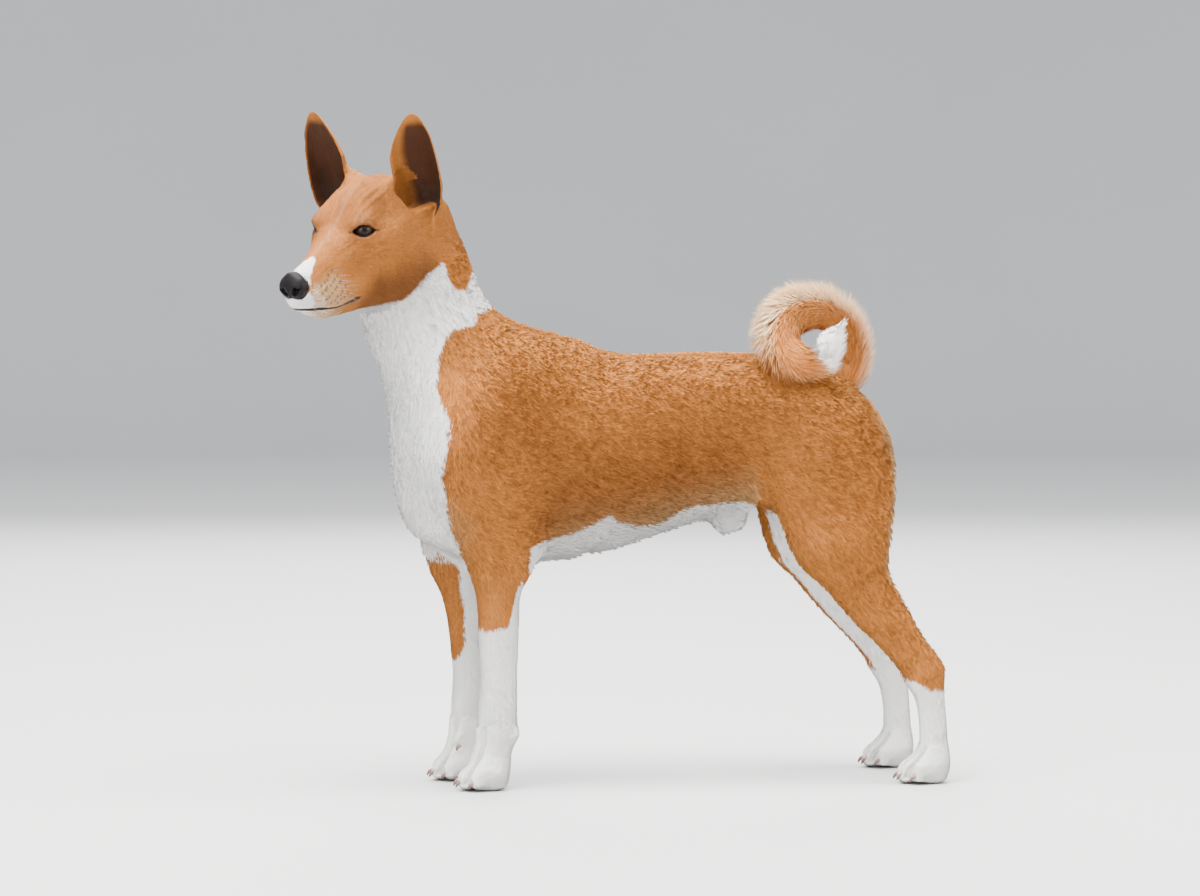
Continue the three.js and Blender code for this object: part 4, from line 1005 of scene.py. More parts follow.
def eye_opening(points, sign, margin):
    """The points in an eye's own frame, and which of them lie between its lids or within
    the margin."""
    p = local(eye_matrix(sign), points)
    top = almond_height(p[:, 0], True, sign) + margin
    bottom = almond_height(p[:, 0], False, sign) - margin
    inside = (p[:, 1] < top) & (p[:, 1] > bottom) & (np.abs(p[:, 0]) < EYE_SLIT / 2 + margin)
    return p, inside & (p[:, 2] > 0) & (p[:, 2] < EYE_REACH)


def open_eyes(points):
    """Presses the skin back inside the opening of each eye."""
    for sign in SIDES:
        p, inside = eye_opening(points, sign, 0.2)
        reach = np.hypot(p[:, 0], p[:, 1])
        ball = np.sqrt(np.maximum(EYE_RADIUS**2 - reach**2, 9))
        p[inside, 2] = np.minimum(p[inside, 2], ball[inside] - 2.4)
        points[inside] = carried(eye_matrix(sign), p[inside])
    return points


FACE_FORMS = [  # forms of both sides of the face: place in the head's frame, reach, rise in mm
    (-34, 34, 12, 11, -1.3),
    (-25, 37, -10, 8, 0.8),
    (-42, 43, -13, 8, 0.8),
    (8, 24, -16, 9, -0.9),
    (-50, 44, -42, 14, 1.0),
    (66, 13, -25, 11, 0.8),
    (38, 22, -33, 9, -0.8),
    (-9, 21, 11, 6, 1.3),
    (5, 13, 3, 5, -0.9),
]


def head_folds(points, normal, region):
    """How far the skin of the head rises over the solids, in mm: wrinkles that run up the
    brow, the furrow between the eyes, brow, temple, cheekbone and cheek."""
    x, y, z = local(HEAD, points).T
    head = of_region(region, "head", "muzzle")
    brow = ramp(x, -58, -38) * ramp(x, 6, -8) * ramp(z, 2, 9)
    lines = np.abs(y) + 0.06 * (x + 20)
    rise = np.zeros(len(points))
    for middle in (6.5, 11.5, 17.0, 23.0):
        rise += hill((lines - middle) / 1.6) * 0.85 * brow
    rise -= hill(y / 2.2) * 1.2 * ramp(x, -60, -40) * ramp(x, 20, 5) * ramp(z, 0, 6)
    for at_x, at_y, at_z, reach, lift in FACE_FORMS:
        gap = ((x - at_x) ** 2 + (np.abs(y) - at_y) ** 2 + (z - at_z) ** 2) / reach**2
        rise += lift * np.exp(-gap)
    return rise * head


def ear_roots():
    """Where the ears' roots are rounded into the head, as rows like ROUNDED's."""
    middle = Vector(EAR_AT) + Vector(EAR_UP) * -31 + Vector(EAR_OUT) * -12 + Vector(EAR_FACE) * 3
    spots = [HEAD @ Vector((middle.x, middle.y * sign, middle.z)) / MM for sign in (1, -1)]
    return [(tuple(spot), EAR_ROOT_REACH, 50) for spot in spots]


def smooth_near(around, points, weight, times):
    """Smooths only where the weight counts, which is quicker than the whole skin."""
    here = np.flatnonzero(weight > 0.01)
    part = around.part(here)
    moved = points[here]
    for _ in range(times):
        moved = moved + (part.mean(moved) - moved) * (0.9 * weight[here])[:, None]
    out = points.copy()
    out[here] = moved
    return out


def claw_middles(foot):
    """The middles of a foot's front claws in mm, from right to left."""
    claws = []
    for name in CLAWS:
        if foot in name and not name.endswith("5"):
            corners = [NODES[name].matrix_world @ Vector(c) for c in NODES[name].bound_box]
            claws.append(np.array(corners).mean(axis=0) / MM)
    return np.array(sorted(claws, key=lambda claw: claw[1]))


def toe_lines(points, normal):
    """On the paws: the grooves between the toes, which start between neighbouring claws and
    run back over the foot, and the ridges of the toes, both from 0 to 1."""
    x, y, _ = (points / MM).T
    groove, ridge = np.zeros(len(points)), np.zeros(len(points))
    for foot in PAWS:
        claws = claw_middles(foot)
        centre = claws[:, 1].mean()
        here = (np.abs(x - claws[:, 0].mean() - 22) < 45) & (np.abs(y - centre) < 32)
        for spots, found, wide, end, up in (
            ((claws[1:] + claws[:-1]) / 2, groove, 1.6, 0.5, (-0.5, 0)),
            (claws, ridge, 3.0, 0.6, (-0.3, 0.3)),
        ):
            for spot in spots:
                back = (x - spot[0]) / 26
                path = spot[1] + (centre - spot[1]) * 0.3 * np.clip(back, 0, 1)
                line = hill((y - path) / wide) * ramp(back, 1.3, end) * ramp(normal[:, 2], *up)
                found += line * here
    return groove, ridge


def toes(points, normal, region):
    """How far the skin of the paws rises, in mm."""
    rise = np.zeros(len(points))
    paw = of_region(region, "paw")
    groove, ridge = toe_lines(points[paw], normal[paw])
    rise[paw] = 0.9 * ridge - 3.4 * groove
    return rise


def solid_flesh(name, grow=0.0):
    """The solids of flesh, grown by so much, and the tail's core as one object."""
    made = merged_copy(name, FLESH)
    if grow:
        edited(made, bpy.ops.transform.shrink_fatten, value=grow)
    return joined(made, tail_core())


COARSE, FINE = 0.85, 0.25  # how readily the skin's plain and detailed parts are thinned


def build_skin():
    """One closed skin over all the flesh, inside the solids by the coat's height."""
    source = solid_flesh("skin_source", GAP_CLOSED)
    skin = copied(source)
    skin.name = "skin"
    applied(skin, "REMESH", mode="VOXEL", voxel_size=VOXEL)

    mesh = skin.data
    around = Neighbours.of(mesh)
    points = positions(mesh)
    region = nearest_regions(points, source)
    strength = around.smooth(region_values(region, 3), 30)
    points = around.smooth(points, SMOOTH_TIMES, 0.8, np.clip(strength, 0, 1))
    for at, reach, times in ROUNDED + ear_roots():
        gap = (points / MM - np.array(at)) / reach
        points = smooth_near(around, points, np.exp(-((gap**2).sum(axis=1) ** 2)), times)
    place(mesh, points)
    depth = around.smooth(region_values(region, 2), 20) * MM + GAP_CLOSED
    normal = normals(mesh)
    points = points - normal * depth[:, None]
    relief = head_folds(points, normal, region) + toes(points, normal, region)
    points = points + normal * (relief * MM)[:, None]
    place(mesh, open_eyes(points))

    fine = of_region(region, "head", "muzzle", "ear", "paw")
    white = around.smooth(white_of(points, normal, region, np.zeros(len(points))), 6)
    fine |= (white > 0.03) & (white < 0.97)
    weights = skin.vertex_groups.new(name="coarse")
    for which, weight in ((~fine, COARSE), (fine, FINE)):
        weights.add(np.flatnonzero(which).tolist(), weight, "REPLACE")
    total = sum(len(p.vertices) - 2 for p in mesh.polygons)
    applied(skin, "DECIMATE", ratio=SKIN_TRIANGLES / total, vertex_group="coarse",
            vertex_group_factor=1.0, use_collapse_triangulate=True)
    skin.vertex_groups.clear()
    bpy.data.objects.remove(source)
    return skin


RED_TONE = 0.45  # the skin's tone of red, between deep and light


def mark_skin(skin, region):
    """Stores region, markings and lie on the skin's vertices."""
    mesh = skin.data
    points, normal = positions(mesh), normals(mesh)
    lie = unit(body_lie(points, normal, region))
    lie = tangent(Neighbours.of(mesh).smooth(lie, 25), normal)
    white, cream, dark, bare, tone = markings(points, normal, region, np.zeros(len(points)))
    tail = of_region(region, "tail")
    _, angle, out = tail_lie(points[tail])
    white[tail] = ramp(angle, TAIL_WHITE - 6, TAIL_WHITE + 6)
    cream[tail] = ramp(dot(out, normal[tail]), 0.3, 1.0) * 0.5
    marks = np.stack([white, cream, dark, RED_TONE + tone], axis=1)
    attribute(mesh, "marks", "FLOAT_COLOR", marks)
    attribute(mesh, "bare", "FLOAT", bare)
    # the skin counts as near the tufts' roots, so it takes their painted root shade
    attribute(mesh, "along", "FLOAT", np.full(len(points), 0.35))
    attribute(mesh, "lie", "FLOAT_VECTOR", lie)
    attribute(mesh, "area", "INT", region)


# ---------------------------------------------------------------- coat


def roots_on(mesh, density):
    """Random roots on the skin, so many per square metre at each vertex. Gives for each
    root its face's vertices and corners, and their shares."""
    mesh.calc_loop_triangles()
    vertices, loops = (read(mesh.loop_triangles, key, 3, np.int64) for key in ("vertices", "loops"))
    points = positions(mesh)
    a, b, c = (points[vertices[:, k]] for k in range(3))
    area = np.linalg.norm(np.cross(b - a, c - a), axis=1) / 2
    rng = np.random.default_rng(SEED)
    wanted = area * density[vertices].mean(axis=1)
    count = np.floor(wanted + rng.random(len(wanted))).astype(int)
    face = np.repeat(np.arange(len(count)), count)
    share = rng.random((len(face), 2))
    over = share.sum(axis=1) > 1
    share[over] = 1 - share[over]
    share = np.column_stack([1 - share.sum(axis=1), share])
    return vertices[face], loops[face], share


def blended(values, corners, share):
    """Values of the vertices or corners, carried to the roots."""
    picked = values[corners]
    if values.ndim == 1:
        return (picked * share).sum(axis=1)
    return np.einsum("ijk,ij->ik", picked, share)


def uv_at(mesh, loops, share):
    """The OFBake coordinates of each root."""
    return blended(read(mesh.uv_layers["OFBake"].data, "uv", 2, np.float32), loops, share)


UV_PATCH = 0.0015  # half the patch of one tuft on the OFBake map


def tuft_piece(name, corners, upright, along, faces, marks, bare, uv):
    """One object from an array of tufts: corners and upright, the way each corner is
    shaded, if any, are tufts x points x 3, faces are the same for each tuft, and marks,
    bare and uv have one row a tuft, or marks one for each of its points."""
    tufts, each = corners.shape[:2]
    mesh = bpy.data.meshes.new(name)
    faces = np.asarray(faces)
    index = (np.arange(tufts)[:, None, None] * each + faces[None]).reshape(-1, faces.shape[1])
    mesh.vertices.add(tufts * each)
    mesh.vertices.foreach_set("co", corners.astype(np.float32).ravel())
    mesh.loops.add(index.size)
    mesh.loops.foreach_set("vertex_index", index.astype(np.int32).ravel())
    mesh.polygons.add(len(index))
    starts = np.arange(0, index.size, faces.shape[1], dtype=np.int32)
    mesh.polygons.foreach_set("loop_start", starts)
    mesh.polygons.foreach_set("use_smooth", np.ones(len(index), dtype=bool))
    mesh.update(calc_edges=True)
    if marks.ndim == 2:
        marks = np.repeat(marks, each, axis=0)
    attribute(mesh, "marks", "FLOAT_COLOR", marks)
    attribute(mesh, "bare", "FLOAT", np.repeat(bare, each))
    attribute(mesh, "along", "FLOAT", np.tile(along, tufts))
    if upright is not None:
        attribute(mesh, "upright", "FLOAT_VECTOR", upright)
    layer = mesh.uv_layers.new(name="OFBake")
    ring = np.linspace(0, 2 * math.pi, each, endpoint=False)
    patch = np.stack([np.cos(ring), np.sin(ring)], axis=1) * UV_PATCH
    spread = uv[:, None] + patch[None]
    layer.data.foreach_set("uv", spread.reshape(-1, 2)[index.ravel()].astype(np.float32).ravel())
    return linked(name, mesh)


def on_surface(tree, points, height):
    """Points moved to that height over the skin nearest to them."""
    out = np.empty_like(points)
    for i, (p, h) in enumerate(zip(points.tolist(), height.tolist())):
        hit, normal, _, _ = tree.find_nearest(p)
        out[i] = hit + normal * h
    return out


COVER = 1.9  # layers of tufts over each place
TUFTS_PER_PIECE = 95000
COAT_GROUPS = {
    "coat_trunk": ["trunk"],
    "coat_neck": ["neck"],
    "coat_head": ["head", "muzzle"],
    "coat_ears": ["ear"],
    "coat_thighs": ["thigh", "tail"],
    "coat_legs": ["gaskin", "foreleg", "hock", "paw"],
}
TUFT_FACES = [(0, 1, 2), (0, 2, 3)]
TUFT_ALONG = [0, 0.5, 1, 0.5]  # how far each point of a tuft is from its root


def coat_sizes(mesh, region):
    """Length, width and height of the coat at each vertex, in mm, longer at the backs of
    the thighs."""
    around = Neighbours.of(mesh)
    length, width, height = (around.smooth(region_values(region, k), 12) for k in range(3))
    x, _, z = (positions(mesh) / MM).T
    pants = ramp(normals(mesh)[:, 0], 0.3, 0.9) * ramp(x, 200, 250) * ramp(z, 130, 200)
    return length * (1 + 0.5 * pants), width, height * (1 + 0.5 * pants)


def lip_gap(mesh, region, tree):
    """How far each vertex of the face lies outside the lips' band, in m, 1 elsewhere."""
    points = positions(mesh)
    line = np.array([p for p, _ in mouth_line(tree)])
    reach = np.array([lip_height(i, len(line)) for i in range(len(line))]) * MM
    gap = np.full(len(points), 1.0)
    face = np.flatnonzero(of_region(region, "muzzle", "head") & (points[:, 2] / MM < 480))
    for start in range(0, len(face), 4000):
        part = face[start : start + 4000]
        gaps = np.linalg.norm(points[part][:, None] - line[None], axis=2)
        gap[part] = (gaps - reach[None]).min(axis=1)
    return gap


def short_coat(skin, cover):
    """Short hair over the whole dog, in flat tufts that lie along the body."""
    mesh = skin.data
    region = read_attribute(mesh, "area", 1).astype(int)
    length, width, height = coat_sizes(mesh, region)
    points, normal = positions(mesh), normals(mesh)
    tree = surface_tree(skin)
    density = cover / (length * width / 2) / MM**2
    for sign in SIDES:
        p, inside = eye_opening(points, sign, 0.8)
        density[inside] = 0
        near = ramp(np.hypot(p[:, 0] / 1.4, p[:, 1]), 16, 9) * (p[:, 2] > 0)
        length = length * (1 - 0.5 * near)
    density[points[:, 2] / MM < 1.2] = 0
    density = density * (1 - 0.7 * ear_inside(points, normal, region)[0])
    density[lip_gap(mesh, region, tree) < 0] = 0
    corners, loops, share = roots_on(mesh, density)
    rng = np.random.default_rng(SEED + 1)
    n = len(corners)

    def at_roots(values):
        return blended(values, corners, share)

    root = at_roots(points)
    up = unit(at_roots(normal))
    lie = tangent(at_roots(read_attribute(mesh, "lie", 3).astype(float)), up)
    across = np.cross(up, lie)
    swing = rng.normal(0, 0.17, n) + noise(root, 0.05, 8) * 0.12 + noise(root, 0.012, 9) * 0.12
    lie = lie * np.cos(swing)[:, None] + across * np.sin(swing)[:, None]
    across = np.cross(up, lie)
    long = at_roots(length) * rng.uniform(0.75, 1.2, n) * MM
    wide = at_roots(width) * rng.uniform(0.7, 1.25, n) * MM
    clump = noise(root, 0.0055, 12) * 0.5 + noise(root, 0.014, 13) * 0.5
    area_of = region[corners[:, 0]]
    white, cream, dark, bare, tone = markings(
        root + lie * (long * 0.45)[:, None], up, area_of, rng.uniform(-1, 1, n)
    )
    white = np.where(white > 0.35, np.maximum(white, ramp(white, 0.35, 0.6)), white)
    stray = rng.random(n) < np.where(white > 0.5, 0.04, 0.12)
    stray &= of_region(area_of, "trunk", "neck", "thigh", "gaskin", "tail")
    rise = at_roots(height) * (rng.uniform(0.45, 1.05, n) + 0.12 * clump) * MM
    rise = np.where(stray, rise * 2.2, rise)
    wide = np.where(stray, wide * 0.55, wide)

    tip = on_surface(tree, root + lie * long[:, None], rise)
    middle = root + (tip - root) * 0.42 + up * (rise * 0.35)[:, None]
    low = up * (wide * 0.16)[:, None]
    left = middle + across * (wide / 2)[:, None] - low
    right = middle - across * (wide / 2)[:, None] - low
    start = root - up * (rise * 0.35)[:, None]
    tufts = np.stack([start, right, tip, left], axis=1)

    vary = (1 - 0.6 * np.clip(white, 0, 1))[:, None]
    lean = up + across * rng.normal(0, 0.13, (n, 1)) * vary
    lean = lean - lie * (0.08 + rng.normal(0, 0.07, (n, 1)) * vary)
    aside = across * 0.34 * vary
    turned = [lean - lie * 0.12, lean - aside, lean + lie * 0.05, lean + aside]
    upright = np.stack([unit(rows) for rows in turned], axis=1)

    pale = at_roots(read_attribute(mesh, "marks", 4)[:, :2].astype(float))
    on_tail = of_region(area_of, "tail")
    white[on_tail], cream[on_tail] = pale[on_tail].T
    # stray tufts, which stand higher, are painted lighter: painted light for the bright edge of lit
    # fur
    shade = RED_TONE + tone + rng.uniform(-0.5, 0.5, n) * 0.85 + clump * 0.18 + stray * 0.3
    marks = np.stack([white, cream, dark, np.clip(shade, 0, 1)], axis=1)
    uv = uv_at(mesh, loops, share)
    made = []
    for name, members in COAT_GROUPS.items():
        here = np.flatnonzero(of_region(area_of, *members))
        parts = max(1, math.ceil(len(here) / TUFTS_PER_PIECE))
        for k in range(parts):
            pick = here[k::parts]
            label = f"{name}_{k + 1}" if parts > 1 else name
            rows = (values[pick] for values in (marks, bare, uv))
            made.append(tuft_piece(label, tufts[pick], upright[pick], TUFT_ALONG, TUFT_FACES, *rows))
    return made


FRINGE_LENGTH = (11.0, 21.0)  # inner and outer side of the tail, mm
FRINGE_STEPS = 5


def tail_fringe(skin, count):
    """The tail's longer coat: bent locks that stand out from the curl and lean to its
    tip, pale at their ends on the outer side, white over the tip."""
    mesh = skin.data
    region = read_attribute(mesh, "area", 1).astype(int)
    points, normal = positions(mesh), normals(mesh)
    tail = of_region(region, "tail").astype(float)
    tail[tail > 0] = ramp(tail_lie(points[tail > 0])[1], -60, -36)
    mesh.calc_loop_triangles()
    area = sum(t.area for t in mesh.loop_triangles if tail[t.vertices[0]] > 0)
    corners, loops, share = roots_on(mesh, tail * (count / area))
    rng = np.random.default_rng(SEED + 2)
    n = len(corners)
    root = blended(points, corners, share)
    up = unit(blended(normal, corners, share))
    along, angle, out = tail_lie(root)
    outer = ramp(dot(up, out), -0.2, 0.9)
    long = (FRINGE_LENGTH[0] + (FRINGE_LENGTH[1] - FRINGE_LENGTH[0]) * outer) * MM
    long *= rng.uniform(0.75, 1.15, n)
    long *= np.clip(columns(TAIL_CURL, angle)[2] / 20 + 0.12, 0.5, 1.1)
    lean = np.radians(np.interp(outer, [0, 1], [66, 47])) + rng.normal(0, 0.12, n)
    lean += ramp(angle, 200, 262) * 0.4 + ramp(angle, 284, 310) * 0.08 + ramp(angle, 10, -40) * 0.35
    long *= 1 - 0.2 * ramp(angle, 284, 310)
    side = unit(np.cross(up, along))
    swing = rng.normal(0, 0.2, n)
    ahead = unit(along * np.cos(swing)[:, None] + side * np.sin(swing)[:, None])
    across = unit(np.cross(up, ahead))
    wide = rng.uniform(0.38, 0.7, n) * MM

    points_of, along_values = [], []
    place_now = root - up * 0.001
    for step in range(FRINGE_STEPS):
        t = step / FRINGE_STEPS
        half = wide * (0.5 + 0.5 * math.sin(math.pi * min(1, t * 1.1 + 0.15))) / 2
        points_of += [place_now - across * half[:, None], place_now + across * half[:, None]]
        along_values += [0.35 + 0.65 * t] * 2
        bend = lean + (t - 0.5) * 0.5
        way = up * np.cos(bend)[:, None] + ahead * np.sin(bend)[:, None]
        place_now = place_now + way * (long / FRINGE_STEPS)[:, None]
    points_of.append(place_now)
    along_values.append(1.0)
    faces = []
    for a in range(0, 2 * (FRINGE_STEPS - 1), 2):
        faces += [(a, a + 1, a + 3), (a, a + 3, a + 2)]
    faces.append(tuple(range(2 * FRINGE_STEPS - 2, 2 * FRINGE_STEPS + 1)))

    white = ramp(angle + rng.normal(0, 3, n), TAIL_WHITE - 4, TAIL_WHITE + 4)
    cream = np.clip(ramp(outer, 0.5, 0.97) + rng.normal(0, 0.08, n), 0, 1)
    cream *= (1 - 0.85 * ramp(angle, 150, 205)) * (0.45 + 0.55 * ramp(angle, -10, 60))
    white = np.maximum(white, 0.25 * cream**2)
    # the inner side of the curl darker: partly darker hair, partly painted shade in the hole
    tone = 0.3 + 0.45 * outer + 0.25 * rng.random(n)
    marks = np.stack([white, cream, np.zeros(n), np.clip(tone, 0, 1)], axis=1)
    marks = np.repeat(marks[:, None], len(along_values), axis=1)
    marks[:, :, 1] *= np.clip(np.array(along_values) * 1.5 - 0.4, 0.2, 1)
    locks = np.stack(points_of, axis=1)
    uv = uv_at(mesh, loops, share)
    return tuft_piece("tail_fringe", locks, None, along_values, faces, marks, np.zeros(n), uv)


# ---------------------------------------------------------------- eyes and lids


IRIS_REACH = 12.0  # distance from the axis of sight that counts as 1 on the iris, mm


def build_eye(sign):
    """A smooth eyeball with a raised cornea, each vertex carrying its distance from the
    axis of sight."""
    bpy.ops.object.select_all(action="DESELECT")
    bpy.ops.mesh.primitive_uv_sphere_add(segments=64, ring_count=48, radius=EYE_RADIUS - 0.2)
    eye = bpy.context.object
    eye.name = "eyeball_" + SIDES[sign]
    mesh = eye.data
    points = positions(mesh)
    away = np.hypot(points[:, 0], points[:, 1])
    front = points[:, 2] > 0
    bulge = np.where(front, 0.9 * ramp(away, 7.2, 0), 0)
    points = points * (1 + bulge / EYE_RADIUS)[:, None]
    place(mesh, carried(eye_matrix(sign), points))
    angle = np.arctan2(points[:, 1], points[:, 0])
    spoke = np.stack([np.cos(angle), np.sin(angle), away * 0.05], axis=1)
    attribute(mesh, "iris", "FLOAT", np.where(front, away, IRIS_REACH))
    attribute(mesh, "spoke", "FLOAT_VECTOR", spoke)
    return smooth_shaded(eye)


IRIS_RINGS = [(0.21, 0.0), (0.25, 1.0), (0.52, 1.0), (0.6, 0.12), (0.64, 0.05)]  # place, light


def eye_material():
    """Dark brown iris with fine spokes, black pupil and rim, under a wet clear coat."""
    made, tree, shader = material(
        "eye", Roughness=0.4, Coat_Weight=0.17, Coat_Roughness=0.04, Specular_IOR_Level=0.1
    )
    fibres = node(tree, "ShaderNodeTexNoise", Scale=9.0, Detail=5.0)
    tree.links.new(stored(tree, "spoke", "Vector"), fibres.inputs["Vector"])
    brown = mixed(tree, fibres.outputs[0], (0.006, 0.003, 0.0015, 1), (0.03, 0.011, 0.004, 1))
    away = maths(tree, "DIVIDE", stored(tree, "iris"), IRIS_REACH)
    rings = tree.nodes.new("ShaderNodeValToRGB")
    tree.links.new(away, rings.inputs[0])
    stops = rings.color_ramp.elements
    for stop in stops:
        stop.color = (0, 0, 0, 1)
    for spot, light in IRIS_RINGS:
        stops.new(spot).color = (light, light, light, 1)
    colour = mixed(tree, 1.0, brown, rings.outputs[0], "MULTIPLY")
    white = tree.nodes.new("ShaderNodeMapRange")
    for number, value in ((0, away), (1, 0.64), (2, 0.72)):
        feed(tree, white.inputs[number], value)
    colour = mixed(tree, white.outputs[0], colour, (0.022, 0.012, 0.009, 1))
    tree.links.new(colour, shader["Base Color"])
    return made


LID_ROWS = [  # how far outside the opening, height over the eyeball, share of the skin
    (-0.3, 0.05, 0.0),
    (-0.35, 0.7, 0.0),
    (0.1, 1.3, 0.0),
    (0.8, 1.55, 0.15),
    (1.6, 1.4, 0.55),
    (2.5, 0.8, 0.9),
    (3.6, 0.0, 1.0),
    (4.6, -0.8, 1.0),
    (4.2, -2.2, 1.0),
    (0.5, -1.4, 0.0),
]
LID_STEPS = 72


def build_lids(sign, tree):
    """Both lids of an eye as one closed band: a dark rim round the opening that runs out
    into the skin."""
    matrix = eye_matrix(sign)
    inverse = matrix.inverted()
    outline = []
    for i in range(LID_STEPS):
        turn = 2 * math.pi * i / LID_STEPS
        x = EYE_SLIT / 2 * math.cos(turn)
        y = float(almond_height(np.array(x), math.sin(turn) >= 0, sign))
        outline.append(Vector((x, y, 0)))
    rings = []
    for i, p in enumerate(outline):
        along = (outline[(i + 1) % LID_STEPS] - outline[i - 1]).normalized()
        out = Vector((along.y, -along.x, 0))
        ring = []
        for grow, height, skin_share in LID_ROWS:
            q = p + out * grow
            reach = min(math.hypot(q.x, q.y), EYE_RADIUS - 1.0)
            ball = Vector((q.x, q.y, math.sqrt(EYE_RADIUS**2 - reach**2)))
            spot = ball * ((EYE_RADIUS + height) / EYE_RADIUS)
            found = None
            if skin_share > 0:
                start = matrix @ Vector((q.x, q.y, EYE_REACH))
                found = ray(tree, start, matrix @ Vector((q.x, q.y, 0)) - start)
            if found:
                over = Vector((0, 0, height if skin_share == 1 else height * 0.5))
                spot = spot.lerp(inverse @ found[0] + over, skin_share)
            ring.append(matrix @ spot)
        rings.append(ring)
    lids = piece_from("lids_" + SIDES[sign], *loft(rings, closed_along=True))
    outward(lids)
    rows = np.tile(np.array([row[0] for row in LID_ROWS]), LID_STEPS)
    attribute(lids.data, "rim", "FLOAT", ramp(rows, 2.6, 0.9))
    lids = finished(lids)
    rim = read_attribute(lids.data, "rim", 1)
    marks = np.zeros((len(rim), 4))
    marks[:, 2] = rim
    marks[:, 3] = 0.5
    attribute(lids.data, "marks", "FLOAT_COLOR", marks)
    attribute(lids.data, "along", "FLOAT", np.full(len(rim), 0.6))
    return lids


# ---------------------------------------------------------------- nose, lips, claws


def build_nose():
    """The nose leather, smoothed from its solid: narrowed below, with a groove down its
    middle and two nostrils."""
    nose = merged_copy("nose_leather", ["nose"])
    applied(nose, "REMESH", mode="VOXEL", voxel_size=0.0005)
    mesh = nose.data
    points = Neighbours.of(mesh).smooth(positions(mesh), 22, 0.8)
    x, y, z = local(HEAD, points).T
    low = ramp(z, -5, -20)
    y *= 1 - 0.42 * low
    z -= 3.0 * low
    x -= 3.0 * ramp(z, -3, 8)
    x -= 0.9 * hill(y / 0.9) * ramp(z, 2, -4)
    for sign in SIDES:
        wing = np.clip((sign * y - 4.5) / 6, 0, 1)
        slit = np.hypot((z + 8.5 - 4 * wing) / (2.6 - 1.3 * wing), (sign * y - 4.5 - 6 * wing) / 2.2)
        x -= 4.0 * ramp(slit, 1.25, 0.3) * (1 - 0.5 * wing)
    place(mesh, carried(HEAD, np.stack([x, y, z], axis=1)))
    tag = mesh.attributes.get("region")
    if tag:
        mesh.attributes.remove(tag)
    return smooth_shaded(nose)


def nose_material():
    """Black pebbled leather, a little moist."""
    made, tree, shader = material("nose leather", Specular_IOR_Level=0.07)
    pebbles = on_object(tree, "ShaderNodeTexVoronoi", Scale=900.0)
    tone = on_object(tree, "ShaderNodeTexNoise", Scale=160.0, Detail=4.0).outputs[0]
    colour_between(tree, shader, tone, (0.003, 0.0025, 0.003), (0.01, 0.0085, 0.009))
    bumped(tree, shader, pebbles.outputs["Distance"], 0.35, 0.0004, invert=True)
    tree.links.new(scaled(tree, tone, 0.25, 0.28), shader["Roughness"])
    return made


MOUTH = [(91, -27.5), (76, -35.5), (60, -43.5), (44, -47), (30, -50.5), (26, -51)]
LIP_SECTION = [(1.1, -0.5), (1.0, 0.6), (0.5, 1.15), (0.15, 0.8), (0.0, -0.3),
               (-0.15, 0.7), (-0.5, 0.95), (-1.0, 0.5), (-1.1, -0.5), (0.0, -1.8)]


def lip_height(i, count):
    """Half the height of the lips' dark band at a point of the mouth's line, in mm: more
    at the corners and under the nose."""
    near_end = min(i, count - 1 - i)
    corner = math.exp(-(((near_end - 6) / 6) ** 2))
    front = math.exp(-(((i - count / 2) / 10) ** 2))
    return (0.9 + 1.7 * corner + 1.9 * front) * min(1, near_end / 4 + 0.15)


def mouth_line(tree):
    """Points of the line between the lips on the skin, from the left corner round the
    front to the right corner, each with the skin's normal."""
    turn = HEAD_TURN.to_3x3()
    heights = sorted(MOUTH)
    line = []

    def cast(start, aim):
        found = ray(tree, HEAD @ Vector(start), turn @ Vector(aim))
        if found:
            line.append(found)

    for x in np.arange(27, 84, 1.5):
        cast((x, 60, float(follow(heights, x))), (0, -1, 0))
    for y in np.arange(8, -8.5, -1.5):
        cast((140, y, float(follow(heights, 88))), (-1, 0, 0))
    for x in np.arange(83, 26, -1.5):
        cast((x, -60, float(follow(heights, x))), (0, 1, 0))
    return line


def build_lips(tree):
    """Both lips as one thin dark band along the mouth, with the line between them sunk in
    it, widest at the corners."""
    line = mouth_line(tree)
    points = [p for p, _ in line]
    for _ in range(14):
        inner = [(a + b * 2 + c) / 4 for a, b, c in zip(points, points[1:], points[2:])]
        points = [points[0], *inner, points[-1]]
    rings = []
    count = len(points)
    for i, p in enumerate(points):
        normal = line[i][1]
        along = (points[min(i + 1, count - 1)] - points[max(i - 1, 0)]).normalized()
        up = normal.cross(along).normalized()
        if up.z < 0:
            up = -up
        tall = lip_height(i, count)
        ring = []
        for a, b in LIP_SECTION:
            found = tree.find_nearest(p + up * (a * tall * MM))
            ring.append(found[0] + normal * (b * min(1, tall) * MM))
        rings.append(ring)
    lips = piece_from("lips", *loft(rings))
    outward(lips)
    return finished(lips)


def lip_material():
    """Dark brown-black lip skin with fine creases."""
    made, tree, shader = material("lips", Roughness=0.5, Specular_IOR_Level=0.1)
    height = grain_bump(tree, shader, 0.4, 0.0003, Scale=900.0)
    share = maths(tree, "MULTIPLY", height, 0.6)
    colour_between(tree, shader, share, (0.006, 0.004, 0.0035), (0.03, 0.017, 0.014))
    return made


CLAW_RINGS = 9
CLAW_SIDES = 12
CLAW_SHARE = 0.7  # of the solid's length, the rest being coat
CLAW_WIDE, CLAW_DEEP = 0.0016, 0.0021  # half its size at the root, in m


